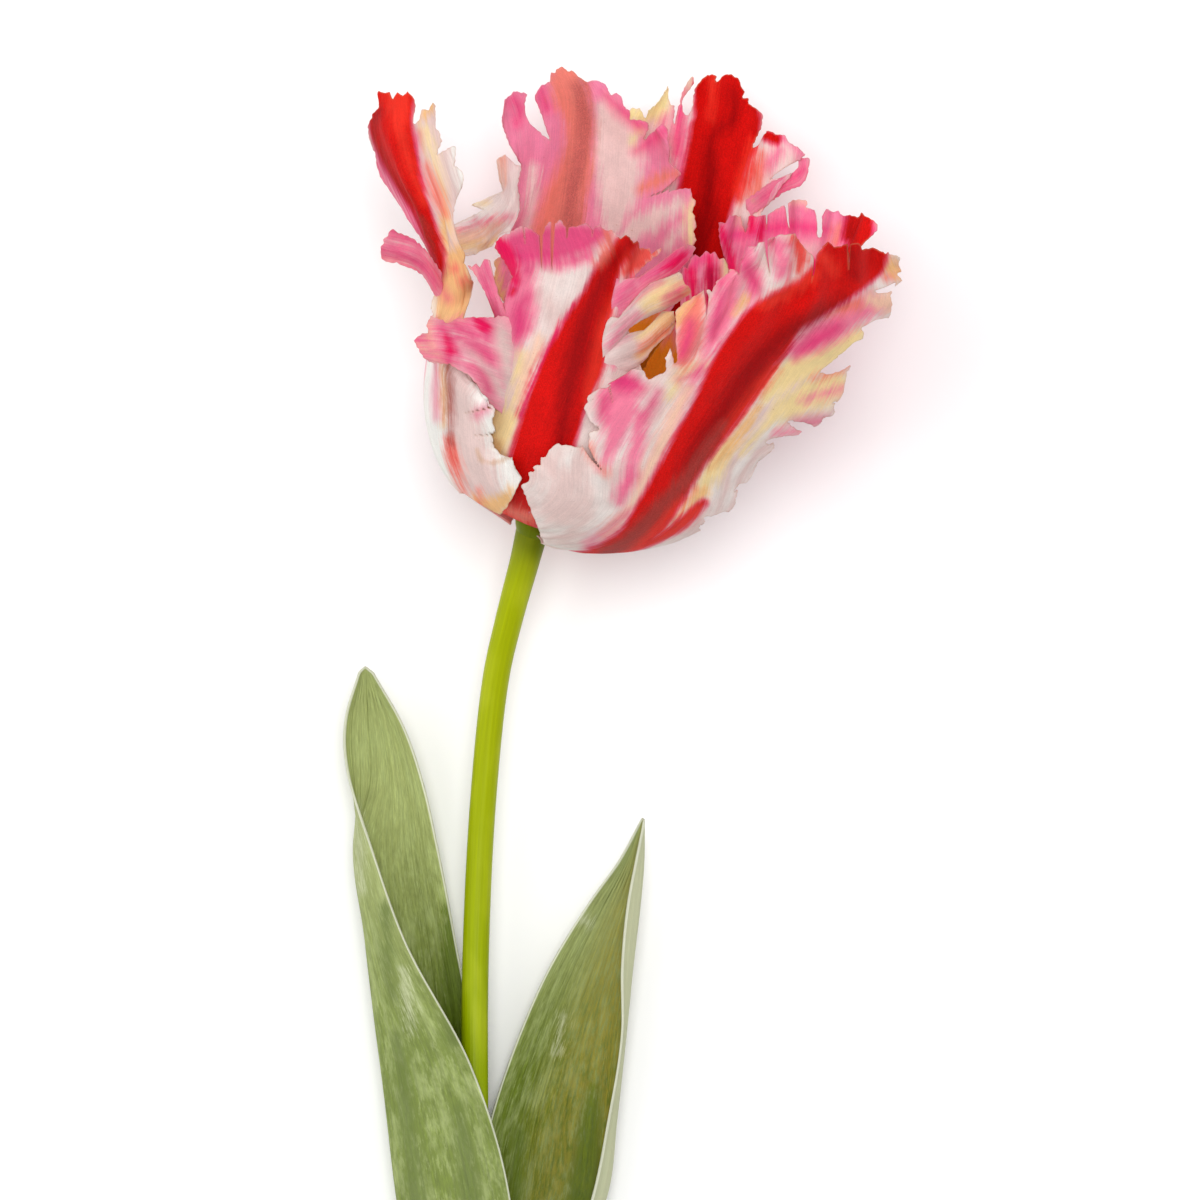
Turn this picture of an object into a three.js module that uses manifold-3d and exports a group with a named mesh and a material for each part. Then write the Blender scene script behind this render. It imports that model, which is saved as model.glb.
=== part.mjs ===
// A cut parrot tulip lying on its back: a stem with two clasping leaves and a
// bloom of six fringed petals round a pistil and six stamens.
// Millimetres, +Z up, the flower's length along +Y, the bloom facing up.

import * as THREE from 'three';
import { mergeVertices } from 'three/addons/utils/BufferGeometryUtils.js';
import Module from 'manifold-3d';

const wasm = await Module();
wasm.setup();

// ---------------------------------------------------------------- dimensions
const PETAL_THICKNESS = 0.7;
const LEAF_THICKNESS = 0.8;
const BASE_HEIGHT = 25.4;        // the bloom's base above the surface it lies on
const LEAN_RIGHT = 18;           // degrees that the bloom's axis leans to the right
const LEAN_UP = 20;              // degrees that the axis rises off the surface
const CUP_OFFSET = 0.14;         // the cup is wider on its right by this share
const PETAL_ROOT_RADIUS = 5;     // where the petals start from the cushion's side
const RECEPTACLE_RADIUS = 4.6;
const RECEPTACLE_TOP = 3.9;      // along the bloom's axis
const ORGAN_START = RECEPTACLE_TOP + 0.3;
const STAMEN_RING = 3.6;
const STAMEN_COUNT = 6;
const FIRST_STAMEN = 20;         // degrees round the axis
const STEM_SIDES = 14;
const SLIT_ROUNDING = 1.6;       // above 1, a slit's foot is rounder
const SLIT_SHOULDER = 0.9;       // where a slit's sides leave the edge, as a share of its half width
const STILL_MIDDLE = 0.35;       // the share of a blade's half width that side slits leave as it is
const STILL_BASE = 0.5;          // the share of its length that top slits leave as it is
const SLIT_BEND = 1.5;
const SLOPE_STEP = 0.01;         // half the step in u and v over which a surface's slope is taken
const WELD = 1e-4;               // vertices nearer to each other than this are one, in mm
const LEAST_STEP = 0.08;         // the least gap between two grid lines, as a share of the even gap
const TOP_WAVE_FADE = 5;         // powers by which waves die away from the top and from a side
const SIDE_WAVE_FADE = 3;

// Where each whorl of petals runs: pairs of height along the axis and radius.
const OUTER_CUP = [
  [0.4, PETAL_ROOT_RADIUS], [3, 14.5], [6, 22], [11, 28.5], [18, 34], [28, 37.8], [40, 39.5], [54, 39.5],
];
const INNER_CUP = [
  [3.2, PETAL_ROOT_RADIUS], [5.4, 13], [8.4, 19.8], [13, 25.8], [20, 31.2], [29, 35], [40, 36.6], [54, 36.8],
];

// ------------------------------------------------------------- bloom's frame
const radians = THREE.MathUtils.degToRad;
const AXIS = new THREE.Vector3(
  Math.sin(radians(LEAN_RIGHT)) * Math.cos(radians(LEAN_UP)),
  Math.cos(radians(LEAN_RIGHT)) * Math.cos(radians(LEAN_UP)),
  Math.sin(radians(LEAN_UP)),
);
const RIGHT = new THREE.Vector3(Math.cos(radians(LEAN_RIGHT)), -Math.sin(radians(LEAN_RIGHT)), 0);
const FRONT = new THREE.Vector3().crossVectors(RIGHT, AXIS);
const BASE = new THREE.Vector3(0, 0, BASE_HEIGHT);

// A point of the bloom from its height along the axis, its distance from the
// axis, and its angle round it: 0 at the front, + to the right.
function bloomPoint([height, radius, angle]) {
  return BASE.clone()
    .addScaledVector(AXIS, height)
    .addScaledVector(FRONT, radius * Math.cos(radians(angle)))
    .addScaledVector(RIGHT, radius * Math.sin(radians(angle)));
}

// The same three values for a point known by its place in the view from above
// and by how far it stands forward of the axis.
function seen(x, y, forward) {
  const across = x * RIGHT.x + y * RIGHT.y;
  const along = -x * RIGHT.y + y * RIGHT.x;
  const height = (along + forward * Math.sin(radians(LEAN_UP))) / Math.cos(radians(LEAN_UP));
  return [height, Math.hypot(across, forward), THREE.MathUtils.radToDeg(Math.atan2(across, forward))];
}

// A smooth curve through values at uneven knots.
function smoothAt(knots, values, t) {
  let k = 0;
  while (k < knots.length - 2 && t > knots[k + 1]) k += 1;
  const slope = (i) => values[i + 1].map((value, c) => (value - values[i][c]) / (knots[i + 1] - knots[i]));
  const tangent = (i) => {
    if (i === 0) return slope(0);
    if (i === knots.length - 1) return slope(i - 1);
    const before = slope(i - 1);
    const after = slope(i);
    const a = knots[i] - knots[i - 1];
    const b = knots[i + 1] - knots[i];
    return before.map((value, c) => (value * b + after[c] * a) / (a + b));
  };
  const span = knots[k + 1] - knots[k];
  const f = (t - knots[k]) / span;
  const m0 = tangent(k);
  const m1 = tangent(k + 1);
  return values[k].map((value, c) => (
    value * (1 + 2 * f) * (1 - f) ** 2 + m0[c] * span * f * (1 - f) ** 2
    + values[k + 1][c] * f * f * (3 - 2 * f) + m1[c] * span * f * f * (f - 1)
  ));
}

// A point on a whorl's cup.
function onCup(cup, height, angle) {
  const [radius] = smoothAt(cup.map((pair) => pair[0]), cup.map((pair) => [pair[1]]), height);
  return [height, radius + (radius - PETAL_ROOT_RADIUS) * CUP_OFFSET * Math.sin(radians(angle)), angle];
}

const outer = (height, ...angles) => angles.map((angle) => onCup(OUTER_CUP, height, angle));
const inner = (height, ...angles) => angles.map((angle) => onCup(INNER_CUP, height, angle));

const asPoint = (values) => new THREE.Vector3(...values);

// -------------------------------------------------------------------- sheets
// Slits cut into an edge: [place along the edge, depth, half width].
function slitDepth(slits, place) {
  return slits.reduce((deepest, [at, depth, width]) => {
    const near = Math.max(0, 1 - Math.abs(place - at) / width);
    return Math.max(deepest, depth * near ** SLIT_ROUNDING);
  }, 0);
}

// Places along an edge where a coarse grid needs lines to hold its slits. An
// even line is left out near one of them, and so is a line all but on another.
function gridLines(from, to, cells, slits) {
  const lines = slits.flatMap(([at, , width]) => {
    const shoulder = width * SLIT_SHOULDER;
    return [at - shoulder, at, at + shoulder];
  });
  const step = (to - from) / cells;
  for (let i = 0; i <= cells; i += 1) {
    const even = from + step * i;
    if (!lines.some((line) => Math.abs(line - even) < step / 2)) lines.push(even);
  }
  lines.push(from, to);
  lines.sort((a, b) => a - b);
  const isApart = (line, i) => i === 0 || line - lines[i - 1] > step * LEAST_STEP;
  return lines.filter((line, i) => line >= from && line <= to && isApart(line, i));
}

// The same rows with each angle within half a turn of the one in the row before.
function unwound(rows) {
  const turned = [rows[0]];
  for (const row of rows.slice(1)) {
    const before = turned[turned.length - 1];
    turned.push(row.map(([height, radius, angle], c) => {
      const turns = Math.round((angle - before[c][2]) / 360);
      return [height, radius, angle - 360 * turns];
    }));
  }
  return turned;
}

// The smooth surface of a sheet lofted through rows of control points, u from
// -1 to 1 across and v from 0 to 1 along, with waves near its free edges.
function loftedSurface(givenRows, place, waves) {
  const rows = place === bloomPoint ? unwound(givenRows) : givenRows;
  const columns = rows[0].length;
  const acrossKnots = rows[0].map((_, i) => -1 + (2 * i) / (columns - 1));
  const middle = rows.map((row) => place(row[(columns - 1) / 2]));
  const lengths = [0];
  for (let i = 1; i < middle.length; i += 1) lengths.push(lengths[i - 1] + middle[i].distanceTo(middle[i - 1]));
  const alongKnots = lengths.map((length) => length / lengths[lengths.length - 1]);
  const smooth = (u, v) => {
    const line = acrossKnots.map((_, c) => smoothAt(alongKnots, rows.map((row) => row[c]), v));
    return place(smoothAt(acrossKnots, line, u));
  };
  const normalOf = (surface, u, v) => {
    const du = surface(u + SLOPE_STEP, v).sub(surface(u - SLOPE_STEP, v));
    const dv = surface(u, v + SLOPE_STEP).sub(surface(u, v - SLOPE_STEP));
    return du.cross(dv).normalize();
  };
  const wave = (u, v) => waves.reduce((sum, { size, turns, edge }) => {
    if (edge === 'top') return sum + size * Math.sin(Math.PI * turns * u) * Math.max(0, v) ** TOP_WAVE_FADE;
    const side = Math.max(0, edge === 'left' ? -u : u) ** SIDE_WAVE_FADE;
    const risen = THREE.MathUtils.clamp(v * 2 - 0.5, 0, 1);
    return sum + size * Math.sin(2 * Math.PI * turns * v) * side * risen;
  }, 0);
  const waved = (u, v) => smooth(u, v).addScaledVector(normalOf(smooth, u, v), wave(u, v));
  return { point: waved, normal: (u, v) => normalOf(waved, u, v) };
}

// A closed solid of even thickness round a grid of points, with both faces
// split alike.
function shell(grid, normals, thickness) {
  const rows = grid.length;
  const columns = grid[0].length;
  const positions = [];
  for (const side of [0.5, -0.5]) {
    for (let j = 0; j < rows; j += 1) {
      for (let i = 0; i < columns; i += 1) {
        const point = grid[j][i].clone().addScaledVector(normals[j][i], side * thickness);
        positions.push(point.x, point.y, point.z);
      }
    }
  }
  const at = (side, j, i) => side * rows * columns + j * columns + i;
  const faces = [];
  for (let j = 0; j < rows - 1; j += 1) {
    for (let i = 0; i < columns - 1; i += 1) {
      const corners = [[j, i], [j, i + 1], [j + 1, i + 1], [j + 1, i]];
      const short = grid[j][i].distanceTo(grid[j + 1][i + 1]) <= grid[j][i + 1].distanceTo(grid[j + 1][i]);
      const triangles = short ? [[0, 1, 2], [0, 2, 3]] : [[0, 1, 3], [1, 2, 3]];
      for (const [a, b, c] of triangles) {
        faces.push(at(0, ...corners[a]), at(0, ...corners[b]), at(0, ...corners[c]));
        faces.push(at(1, ...corners[a]), at(1, ...corners[c]), at(1, ...corners[b]));
      }
    }
  }
  const rim = [];
  for (let i = 0; i < columns; i += 1) rim.push([0, i]);
  for (let j = 1; j < rows; j += 1) rim.push([j, columns - 1]);
  for (let i = columns - 2; i >= 0; i -= 1) rim.push([rows - 1, i]);
  for (let j = rows - 2; j >= 1; j -= 1) rim.push([j, 0]);
  rim.forEach((from, k) => {
    const to = rim[(k + 1) % rim.length];
    faces.push(at(0, ...from), at(1, ...from), at(1, ...to));
    faces.push(at(0, ...from), at(1, ...to), at(0, ...to));
  });
  return { positions, faces };
}

function sheet({
  rows, place = bloomPoint, waves = [], top = [], left = [], right = [],
  cells = [12, 16], thickness = PETAL_THICKNESS,
}) {
  const surface = loftedSurface(rows, place, waves);
  const acrossLines = gridLines(-1, 1, cells[0], top);
  const alongLines = gridLines(0, 1, cells[1], [...left, ...right]);
  const grid = [];
  const normals = [];
  for (const v0 of alongLines) {
    const pointRow = [];
    const normalRow = [];
    for (const u0 of acrossLines) {
      const sideways = Math.max(0, (Math.abs(u0) - STILL_MIDDLE) / (1 - STILL_MIDDLE)) ** SLIT_BEND;
      const upwards = Math.max(0, (v0 - STILL_BASE) / (1 - STILL_BASE)) ** SLIT_BEND;
      const u = u0 - Math.sign(u0) * slitDepth(u0 < 0 ? left : right, v0) * sideways;
      const v = v0 - slitDepth(top, u0) * upwards;
      const normal = surface.normal(u, v);
      const point = surface.point(u, v);
      const lowest = point.z - Math.abs(normal.z) * thickness * 0.5;
      if (lowest < 0) point.z -= lowest;
      pointRow.push(point);
      normalRow.push(normal);
    }
    grid.push(pointRow);
    normals.push(normalRow);
  }
  return shell(grid, normals, thickness);
}

// ---------------------------------------------------------- solids and meshes
function toSolid({ positions, faces }) {
  let geometry = new THREE.BufferGeometry();
  geometry.setAttribute('position', new THREE.Float32BufferAttribute(positions, 3));
  geometry.setIndex(faces);
  geometry = mergeVertices(geometry, WELD);
  let solid = new wasm.Manifold(new wasm.Mesh({
    numProp: 3,
    vertProperties: new Float32Array(geometry.attributes.position.array),
    triVerts: new Uint32Array(geometry.index.array),
  }));
  if (solid.volume() < 0) {
    const flipped = [];
    for (let i = 0; i < faces.length; i += 3) flipped.push(faces[i], faces[i + 2], faces[i + 1]);
    solid = toSolid({ positions, faces: flipped });
  }
  return solid;
}

function toMesh(name, pieces, color, roughness) {
  let solid = toSolid(pieces[0]);
  for (const piece of pieces.slice(1)) solid = solid.add(toSolid(piece));
  const { vertProperties, triVerts } = solid.getMesh();
  const geometry = new THREE.BufferGeometry();
  geometry.setAttribute('position', new THREE.BufferAttribute(new Float32Array(vertProperties), 3));
  geometry.setIndex(new THREE.BufferAttribute(new Uint32Array(triVerts), 1));
  geometry.computeVertexNormals();
  const material = new THREE.MeshStandardMaterial({ color, roughness, metalness: 0 });
  const mesh = new THREE.Mesh(geometry, material);
  mesh.name = name;
  return mesh;
}

// ----------------------------------------------------------- tubes and bodies
// A round body along a path; outline(angle) scales its radius round the path.
function tube(path, radii, sides, rings, outline = () => 1) {
  const curve = new THREE.CatmullRomCurve3(path);
  const positions = [];
  const faces = [];
  const radiusKnots = radii.map((_, i) => i / (radii.length - 1));
  for (let j = 0; j <= rings; j += 1) {
    const t = j / rings;
    const centre = curve.getPoint(t);
    const tangent = curve.getTangent(t);
    const side = new THREE.Vector3().crossVectors(tangent, new THREE.Vector3(0, 0, 1)).normalize();
    const up = new THREE.Vector3().crossVectors(side, tangent);
    const [radius] = smoothAt(radiusKnots, radii.map((value) => [value]), t);
    for (let i = 0; i < sides; i += 1) {
      const angle = (2 * Math.PI * i) / sides;
      const reach = radius * outline(angle);
      const point = centre.clone()
        .addScaledVector(side, reach * Math.cos(angle))
        .addScaledVector(up, reach * Math.sin(angle));
      positions.push(point.x, point.y, Math.max(0, point.z));
    }
  }
  const ends = [curve.getPoint(0), curve.getPoint(1)];
  ends.forEach((end) => positions.push(end.x, end.y, Math.max(0, end.z)));
  const first = (rings + 1) * sides;
  for (let i = 0; i < sides; i += 1) {
    const next = (i + 1) % sides;
    for (let j = 0; j < rings; j += 1) {
      const a = j * sides + i;
      const b = j * sides + next;
      faces.push(a, b, b + sides, a, b + sides, a + sides);
    }
    faces.push(first, next, i);
    faces.push(first + 1, rings * sides + i, rings * sides + next);
  }
  return { positions, faces };
}

// ---------------------------------------------------------------------- stem
const STEM_PATH = [
  [-8.5, -265, 3.1], [-10.5, -228, 6.9], [-12, -190, 9.4], [-12.7, -149, 11], [-12.9, -127, 11.3],
  [-12.7, -95, 11.6], [-11.1, -61, 12.8], [-8.2, -33, 15.8], [-5.3, -20, 19.2], [-1.8, -7, 23.6],
];

const STEM_END = -0.6;           // height of the stalk's end on the bloom's axis
const STEM_RADII = [3.2, 3.2, 3.1, 3.05, 3, 2.95, 2.9, 2.95, 3.05, 3.3, 3.6];

// The cushion that the petals grow from: pairs of height along the axis and radius.
const CUSHION = [
  [-1.6, 3.2],
  [0.6, RECEPTACLE_RADIUS - 0.4],
  [2.4, RECEPTACLE_RADIUS],
  [RECEPTACLE_TOP, RECEPTACLE_RADIUS - 0.3],
];

const onAxis = (height) => bloomPoint([height, 0, 0]);

// A solid on the bloom's axis, from pairs of height above a start and radius.
function turnedSolid(outline, start, sides, rings, ridge) {
  const path = outline.map(([height]) => onAxis(start + height));
  const radii = outline.map(([, radius]) => radius);
  return tube(path, radii, sides, rings, ridge);
}

function stem() {
  const path = [...STEM_PATH.map(asPoint), onAxis(STEM_END)];
  return [tube(path, STEM_RADII, STEM_SIDES, 24), turnedSolid(CUSHION, 0, STEM_SIDES, 5)];
}

// -------------------------------------------------------------------- leaves
// Points round the stem, for a leaf's clasping base.
function clasp([x, y, z], radius, angles) {
  return angles.map((angle) => {
    const turn = radians(angle);
    return [x + radius * Math.cos(turn), y, z + radius * Math.sin(turn)];
  });
}

// Columns run from the margin behind the stem round the fold at the left to
// the margin in front of the stem.
function leftLeaf() {
  const rows = [
    clasp([-10.5, -228, 6.9], 4.1, [-60, -120, 180, 120, 60]),
    clasp([-11.4, -206, 8.4], 5.9, [-50, -115, 180, 115, 50]),
    [[-11, -177, 2.4], [-17.5, -177, 0.9], [-24.5, -177, 9], [-15, -177, 16.2], [-4.4, -177, 16.6]],
    [[-12, -149, 2.4], [-21, -149, 0.2], [-30, -149, 9], [-18.5, -149, 16], [-4.9, -149, 17.6]],
    [[-12.4, -119, 3.4], [-24, -119, 0.6], [-33.4, -119, 8.6], [-25, -119, 15.4], [-13.6, -119, 18]],
    [[-17, -92, 6.4], [-27, -92, 3.6], [-36.8, -90, 8.2], [-34.5, -90, 14], [-28.4, -91, 16.4]],
    [[-21, -71, 8.6], [-29.5, -71, 5], [-38.9, -69, 7.4], [-38.4, -70, 11.4], [-35.6, -71, 13.6]],
    [[-24.4, -56, 10.4], [-30, -56, 7.4], [-35.6, -55, 6.8], [-39.4, -54.5, 8.6], [-41.1, -54, 11]],
    [[-29, -43, 12.2], [-32.6, -42, 10.4], [-36.4, -41.5, 9.8], [-39.6, -41.5, 10.6], [-41.6, -42, 12.2]],
    [[-35.4, -31.8, 14], [-36.4, -31, 13.6], [-37.2, -30.4, 13.4], [-37.9, -31, 13.6], [-38.6, -31.8, 14]],
  ];
  return [sheet({ rows, place: asPoint, cells: [10, 24], thickness: LEAF_THICKNESS })];
}

// Columns run from the margin by the stem to the right margin, which curls up.
function rightLeaf() {
  const rows = [
    clasp([-11.5, -205, 8.5], 4.1, [150, -150, -90, -40, 20]),
    clasp([-11.9, -192, 9.3], 4.4, [-175, -130, -80, -35, 15]),
    [[-16, -175, 7.8], [-11.4, -175, 5.2], [-6, -175, 4.6], [-1.2, -175, 6], [2.4, -175, 9.6]],
    [[-13, -149, 7], [-7, -149, 5], [1, -149, 4], [15.2, -149, 6], [13, -149, 10.4]],
    [[-9.4, -131, 6.8], [-3.4, -131, 5], [4, -131, 4.2], [17.6, -131, 6.6], [16.8, -131, 11.4]],
    [[-3, -112, 7.4], [3, -112, 5.4], [9, -112, 5], [19.6, -112, 7.2], [19.8, -112, 12]],
    [[4, -96.5, 8.6], [9, -96.5, 7], [14.4, -96.5, 6.8], [21.7, -96.5, 8.8], [19.8, -96.5, 12.8]],
    [[13, -82, 10.4], [16.2, -82, 9.2], [19.6, -82, 9.2], [23.5, -82, 10.6], [21.2, -82, 13.2]],
    [[19, -73.6, 12], [20.6, -73.6, 11.2], [22.4, -73.6, 11.2], [24.3, -73.6, 12], [22.8, -73.6, 13.6]],
    [[24, -64.4, 14], [24.2, -64.2, 14], [24.4, -64, 14], [24.6, -64.2, 14], [24.7, -64.4, 14.1]],
  ];
  return [sheet({ rows, place: asPoint, cells: [10, 22], thickness: LEAF_THICKNESS })];
}

// -------------------------------------------------------------------- petals
// Rows run from the petal's base to its tip; each row is its left edge, its
// midrib and its right edge as seen from above.
const inSpace = (rows) => rows.map((row) => row.map((values) => bloomPoint(values).toArray()));

// A lobe that stands out of a petal: a small sheet fused to it.
function lobe(rows, options = {}) {
  return sheet({ rows: inSpace(rows), place: asPoint, cells: [4, 6], ...options });
}

function frontPetal() {
  const blade = sheet({
    rows: [
      inner(3.2, -50, -10, 30),
      inner(8.4, -60, -10, 40),
      inner(16, -66, -8, 44),
      inner(28, -64, -6, 42),
      inner(40, -54, -5, 36),
      [seen(-7.5, 48, 26), seen(11, 41, 35.4), seen(23, 37.5, 32)],
      [seen(-5.5, 55, 25), seen(13, 49.5, 35), seen(20.5, 46.5, 33.4)],
      [seen(-6.8, 58.5, 24), seen(14.5, 58, 34.6), seen(22, 55, 33)],
      [seen(-8.5, 62.5, 23), seen(11, 68.5, 33.5), seen(27.5, 61, 31)],
    ],
    top: [[-0.74, 0.04, 0.1], [-0.42, 0.12, 0.05], [-0.26, 0.13, 0.05], [0, 0.06, 0.05],
      [0.3, 0.03, 0.08], [0.66, 0.04, 0.1]],
    waves: [{ edge: 'top', size: 0.8, turns: 4 }],
    cells: [12, 15],
  });
  const leftWing = lobe([
    [seen(-4.6, 24.5, 31), seen(-2.4, 36, 31), seen(-3.2, 46, 28.4)],
    [seen(-9.4, 28.2, 32.4), seen(-8.6, 38, 32.6), seen(-9, 47, 29.2)],
    [seen(-12.8, 32.8, 34.6), seen(-13.4, 40, 33), seen(-13.4, 47.4, 28.6)],
    [seen(-18, 35.6, 32), seen(-18.6, 41.4, 28.8), seen(-18.2, 46.8, 24.6)],
    [seen(-22.4, 36.6, 25.8), seen(-26.4, 41.8, 22.8), seen(-22.8, 47.3, 20)],
  ], { cells: [6, 8] });
  const narrowLobe = lobe([
    [seen(-7.6, 44, 26.4), seen(-6.2, 44.6, 27.6), seen(-4.8, 45.4, 28.4)],
    [seen(-9.8, 50.6, 25), seen(-8.6, 51.2, 26), seen(-7.2, 51.6, 26.6)],
    [seen(-12.2, 55.4, 23), seen(-10.4, 56, 24.4), seen(-8.4, 56.4, 25)],
    [seen(-14.2, 58.2, 20.5), seen(-11.6, 58.8, 22.6), seen(-9, 59.4, 23.6)],
  ]);
  const creamLobe = lobe([
    [seen(15.5, 38, 35), seen(15.5, 42, 35.2), seen(16.5, 46, 35.2)],
    [seen(20.4, 42.4, 34.6), seen(20, 45, 35.8), seen(20.4, 48.4, 36.2)],
    [seen(25.4, 46.2, 34.4), seen(25, 49.4, 36), seen(25, 53.4, 36.6)],
    [seen(30.4, 48.6, 33.4), seen(30.4, 51.8, 35.4), seen(29.4, 55.6, 36.2)],
    [seen(34.6, 51.6, 31.6), seen(34.8, 53.6, 33.4), seen(32.4, 56.6, 34.6)],
  ], { cells: [4, 7] });
  const magentaLobe = lobe([
    [seen(17.5, 45, 34.6), seen(17.5, 50, 34.8), seen(18.5, 55, 34.4)],
    [seen(21.6, 49, 34.8), seen(21.2, 52, 35.2), seen(21.4, 55.6, 34.4)],
    [seen(26, 53, 34.6), seen(25, 54.8, 35), seen(24.4, 57, 34.2)],
    [seen(31.4, 55.8, 32.4), seen(30, 57.8, 33.2), seen(29, 60, 33)],
    [seen(36.4, 62, 28), seen(35, 62.6, 29), seen(33.6, 62.6, 30)],
  ], { cells: [4, 7] });
  const lowerBand = lobe([
    [seen(15.5, 33.5, 35), seen(16, 38, 35), seen(17, 42, 34.6)],
    [seen(21.2, 35, 33.6), seen(20.6, 39.4, 34.6), seen(20.8, 43.2, 34)],
    [seen(25.4, 38.2, 31.6), seen(25, 41.4, 33), seen(24.6, 44.2, 32.8)],
    [seen(29.4, 42, 29.6), seen(28.4, 44.6, 31), seen(27.2, 46.8, 31.4)],
    [seen(31.4, 45.2, 28), seen(31.2, 46.8, 28.8), seen(29.6, 48, 30)],
  ], { cells: [3, 6] });
  return [blade, leftWing, narrowLobe, creamLobe, magentaLobe, lowerBand];
}

function rightFrontPetal() {
  const blade = sheet({
    rows: [
      outer(0.4, 14, 50, 86),
      outer(4.5, 12, 50, 88),
      outer(11, 3, 50, 88),
      [seen(-2.6, 9.6, 36.2), onCup(OUTER_CUP, 22, 50), seen(43.8, 4.6, 0)],
      [seen(7, 19, 38.6), seen(36, 16, 30.4), seen(52.5, 17, 2)],
      [seen(13.5, 28.6, 39.4), seen(42, 25, 30.5), seen(67, 27, 4)],
      [seen(23.5, 35.4, 39.4), seen(48.8, 35, 32), seen(71, 37.5, 10)],
      [seen(31.5, 48, 39.4), seen(57.5, 47, 36), seen(79.8, 47.6, 20)],
      [seen(43.5, 58, 42), seen(61.5, 64.6, 45), seen(81, 60, 30)],
    ],
    top: [[-0.84, 0.03, 0.08], [-0.56, 0.08, 0.05], [-0.12, 0.06, 0.05], [0.3, 0.04, 0.06], [0.66, 0.03, 0.06],
      [0.86, 0.08, 0.05]],
    left: [[0.36, 0.06, 0.03], [0.43, 0.17, 0.025], [0.55, 0.12, 0.025], [0.72, 0.14, 0.06]],
    right: [[0.29, 0.06, 0.03], [0.4, 0.13, 0.03], [0.5, 0.3, 0.03], [0.63, 0.22, 0.03], [0.74, 0.22, 0.03]],
    waves: [{ edge: 'top', size: 1.6, turns: 5 }, { edge: 'right', size: 1.4, turns: 6 }],
    cells: [12, 15],
  });
  return [blade];
}

function leftPetal() {
  const blade = sheet({
    rows: [
      outer(0.4, -108, -72, -38),
      outer(4.5, -118, -74, -28),
      outer(11, -126, -75, -19),
      [onCup(OUTER_CUP, 22, -128), onCup(OUTER_CUP, 22, -75), seen(-3.4, 10.8, 36)],
      [onCup(OUTER_CUP, 32, -124), onCup(OUTER_CUP, 32, -76), seen(-9, 20, 34.6)],
      [onCup(OUTER_CUP, 39, -108), onCup(OUTER_CUP, 40, -77), seen(-13, 32, 32)],
      [seen(-22.6, 46, 1), seen(-19.4, 46, 9), seen(-16, 45, 15)],
      [seen(-21.8, 56, 3), seen(-18, 57.4, 9), seen(-13.2, 57.4, 13)],
      [seen(-27, 67, 0), seen(-22, 68, 8), seen(-16.6, 67.4, 11)],
      [seen(-34.4, 80, -3), seen(-27, 80, 7), seen(-15.4, 78.4, 9)],
      [seen(-36.2, 92.6, -2), seen(-30.4, 97.2, 5), seen(-20.8, 94.6, 7)],
    ],
    top: [[-0.4, 0.02, 0.16], [0.1, 0.025, 0.16], [0.44, 0.08, 0.1], [0.74, 0.04, 0.08]],
    left: [],
    right: [[0.39, 0.12, 0.025], [0.47, 0.16, 0.025], [0.78, 0.2, 0.03], [0.9, 0.25, 0.03]],
    waves: [{ edge: 'right', size: 1.2, turns: 5 }],
    cells: [11, 18],
  });
  const pinkLobe = lobe([
    [seen(-20.6, 50, 5), seen(-20, 53, 7), seen(-20, 57, 8)],
    [seen(-26, 57, 10), seen(-25.6, 60, 12), seen(-25, 63.4, 12)],
    [seen(-33.6, 59.4, 13), seen(-33.6, 62.4, 15), seen(-31.4, 66.8, 15)],
  ]);
  const creamBand = lobe([
    [seen(-17, 60, 10.5), seen(-17.4, 64, 9.6), seen(-18, 68, 9.4)],
    [seen(-12, 61, 1), seen(-13, 65.6, 0), seen(-13.6, 70, 0)],
    [seen(-8, 63.4, -17), seen(-9.6, 68.4, -15), seen(-13.8, 72.2, -12)],
    [seen(-3.8, 67.5, -26), seen(-5.8, 73.4, -25), seen(-8.6, 75.6, -20)],
    [seen(-2, 80, -27), seen(-4.6, 82, -26), seen(-8.2, 82.6, -22)],
  ], { cells: [4, 10] });
  return [blade, pinkLobe, creamBand];
}

function leftBackPetal() {
  const blade = sheet({
    rows: [
      inner(3.2, -92, -132, -172),
      inner(8.4, -86, -134, -182),
      inner(16, -90, -138, -188),
      inner(28, -108, -150, -194),
      inner(40, -130, -160, -198),
      [seen(-7.5, 61, -24), onCup(INNER_CUP, 54, -163), onCup(INNER_CUP, 54, -202)],
      [seen(-2.6, 72, -24.5), seen(12, 77, -34), seen(36, 64, -29)],
      [seen(-3, 81, -21.5), seen(13, 88, -34), seen(36.6, 73, -29)],
      [seen(-6.6, 89.5, -18.5), seen(13, 96, -32.5), seen(33.5, 81.6, -30)],
      [seen(-5.6, 97.2, -16.5), seen(9, 103, -31), seen(27.6, 91, -31)],
    ],
    top: [[-0.76, 0.02, 0.1], [-0.5, 0.13, 0.12], [0.26, 0.025, 0.1], [0.8, 0.05, 0.07]],
    left: [[0.68, 0.1, 0.04]],
    right: [[0.64, 0.06, 0.03], [0.72, 0.05, 0.03], [0.82, 0.06, 0.03]],
    waves: [{ edge: 'top', size: 1, turns: 3 }],
    cells: [12, 15],
  });
  return [blade];
}

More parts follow.
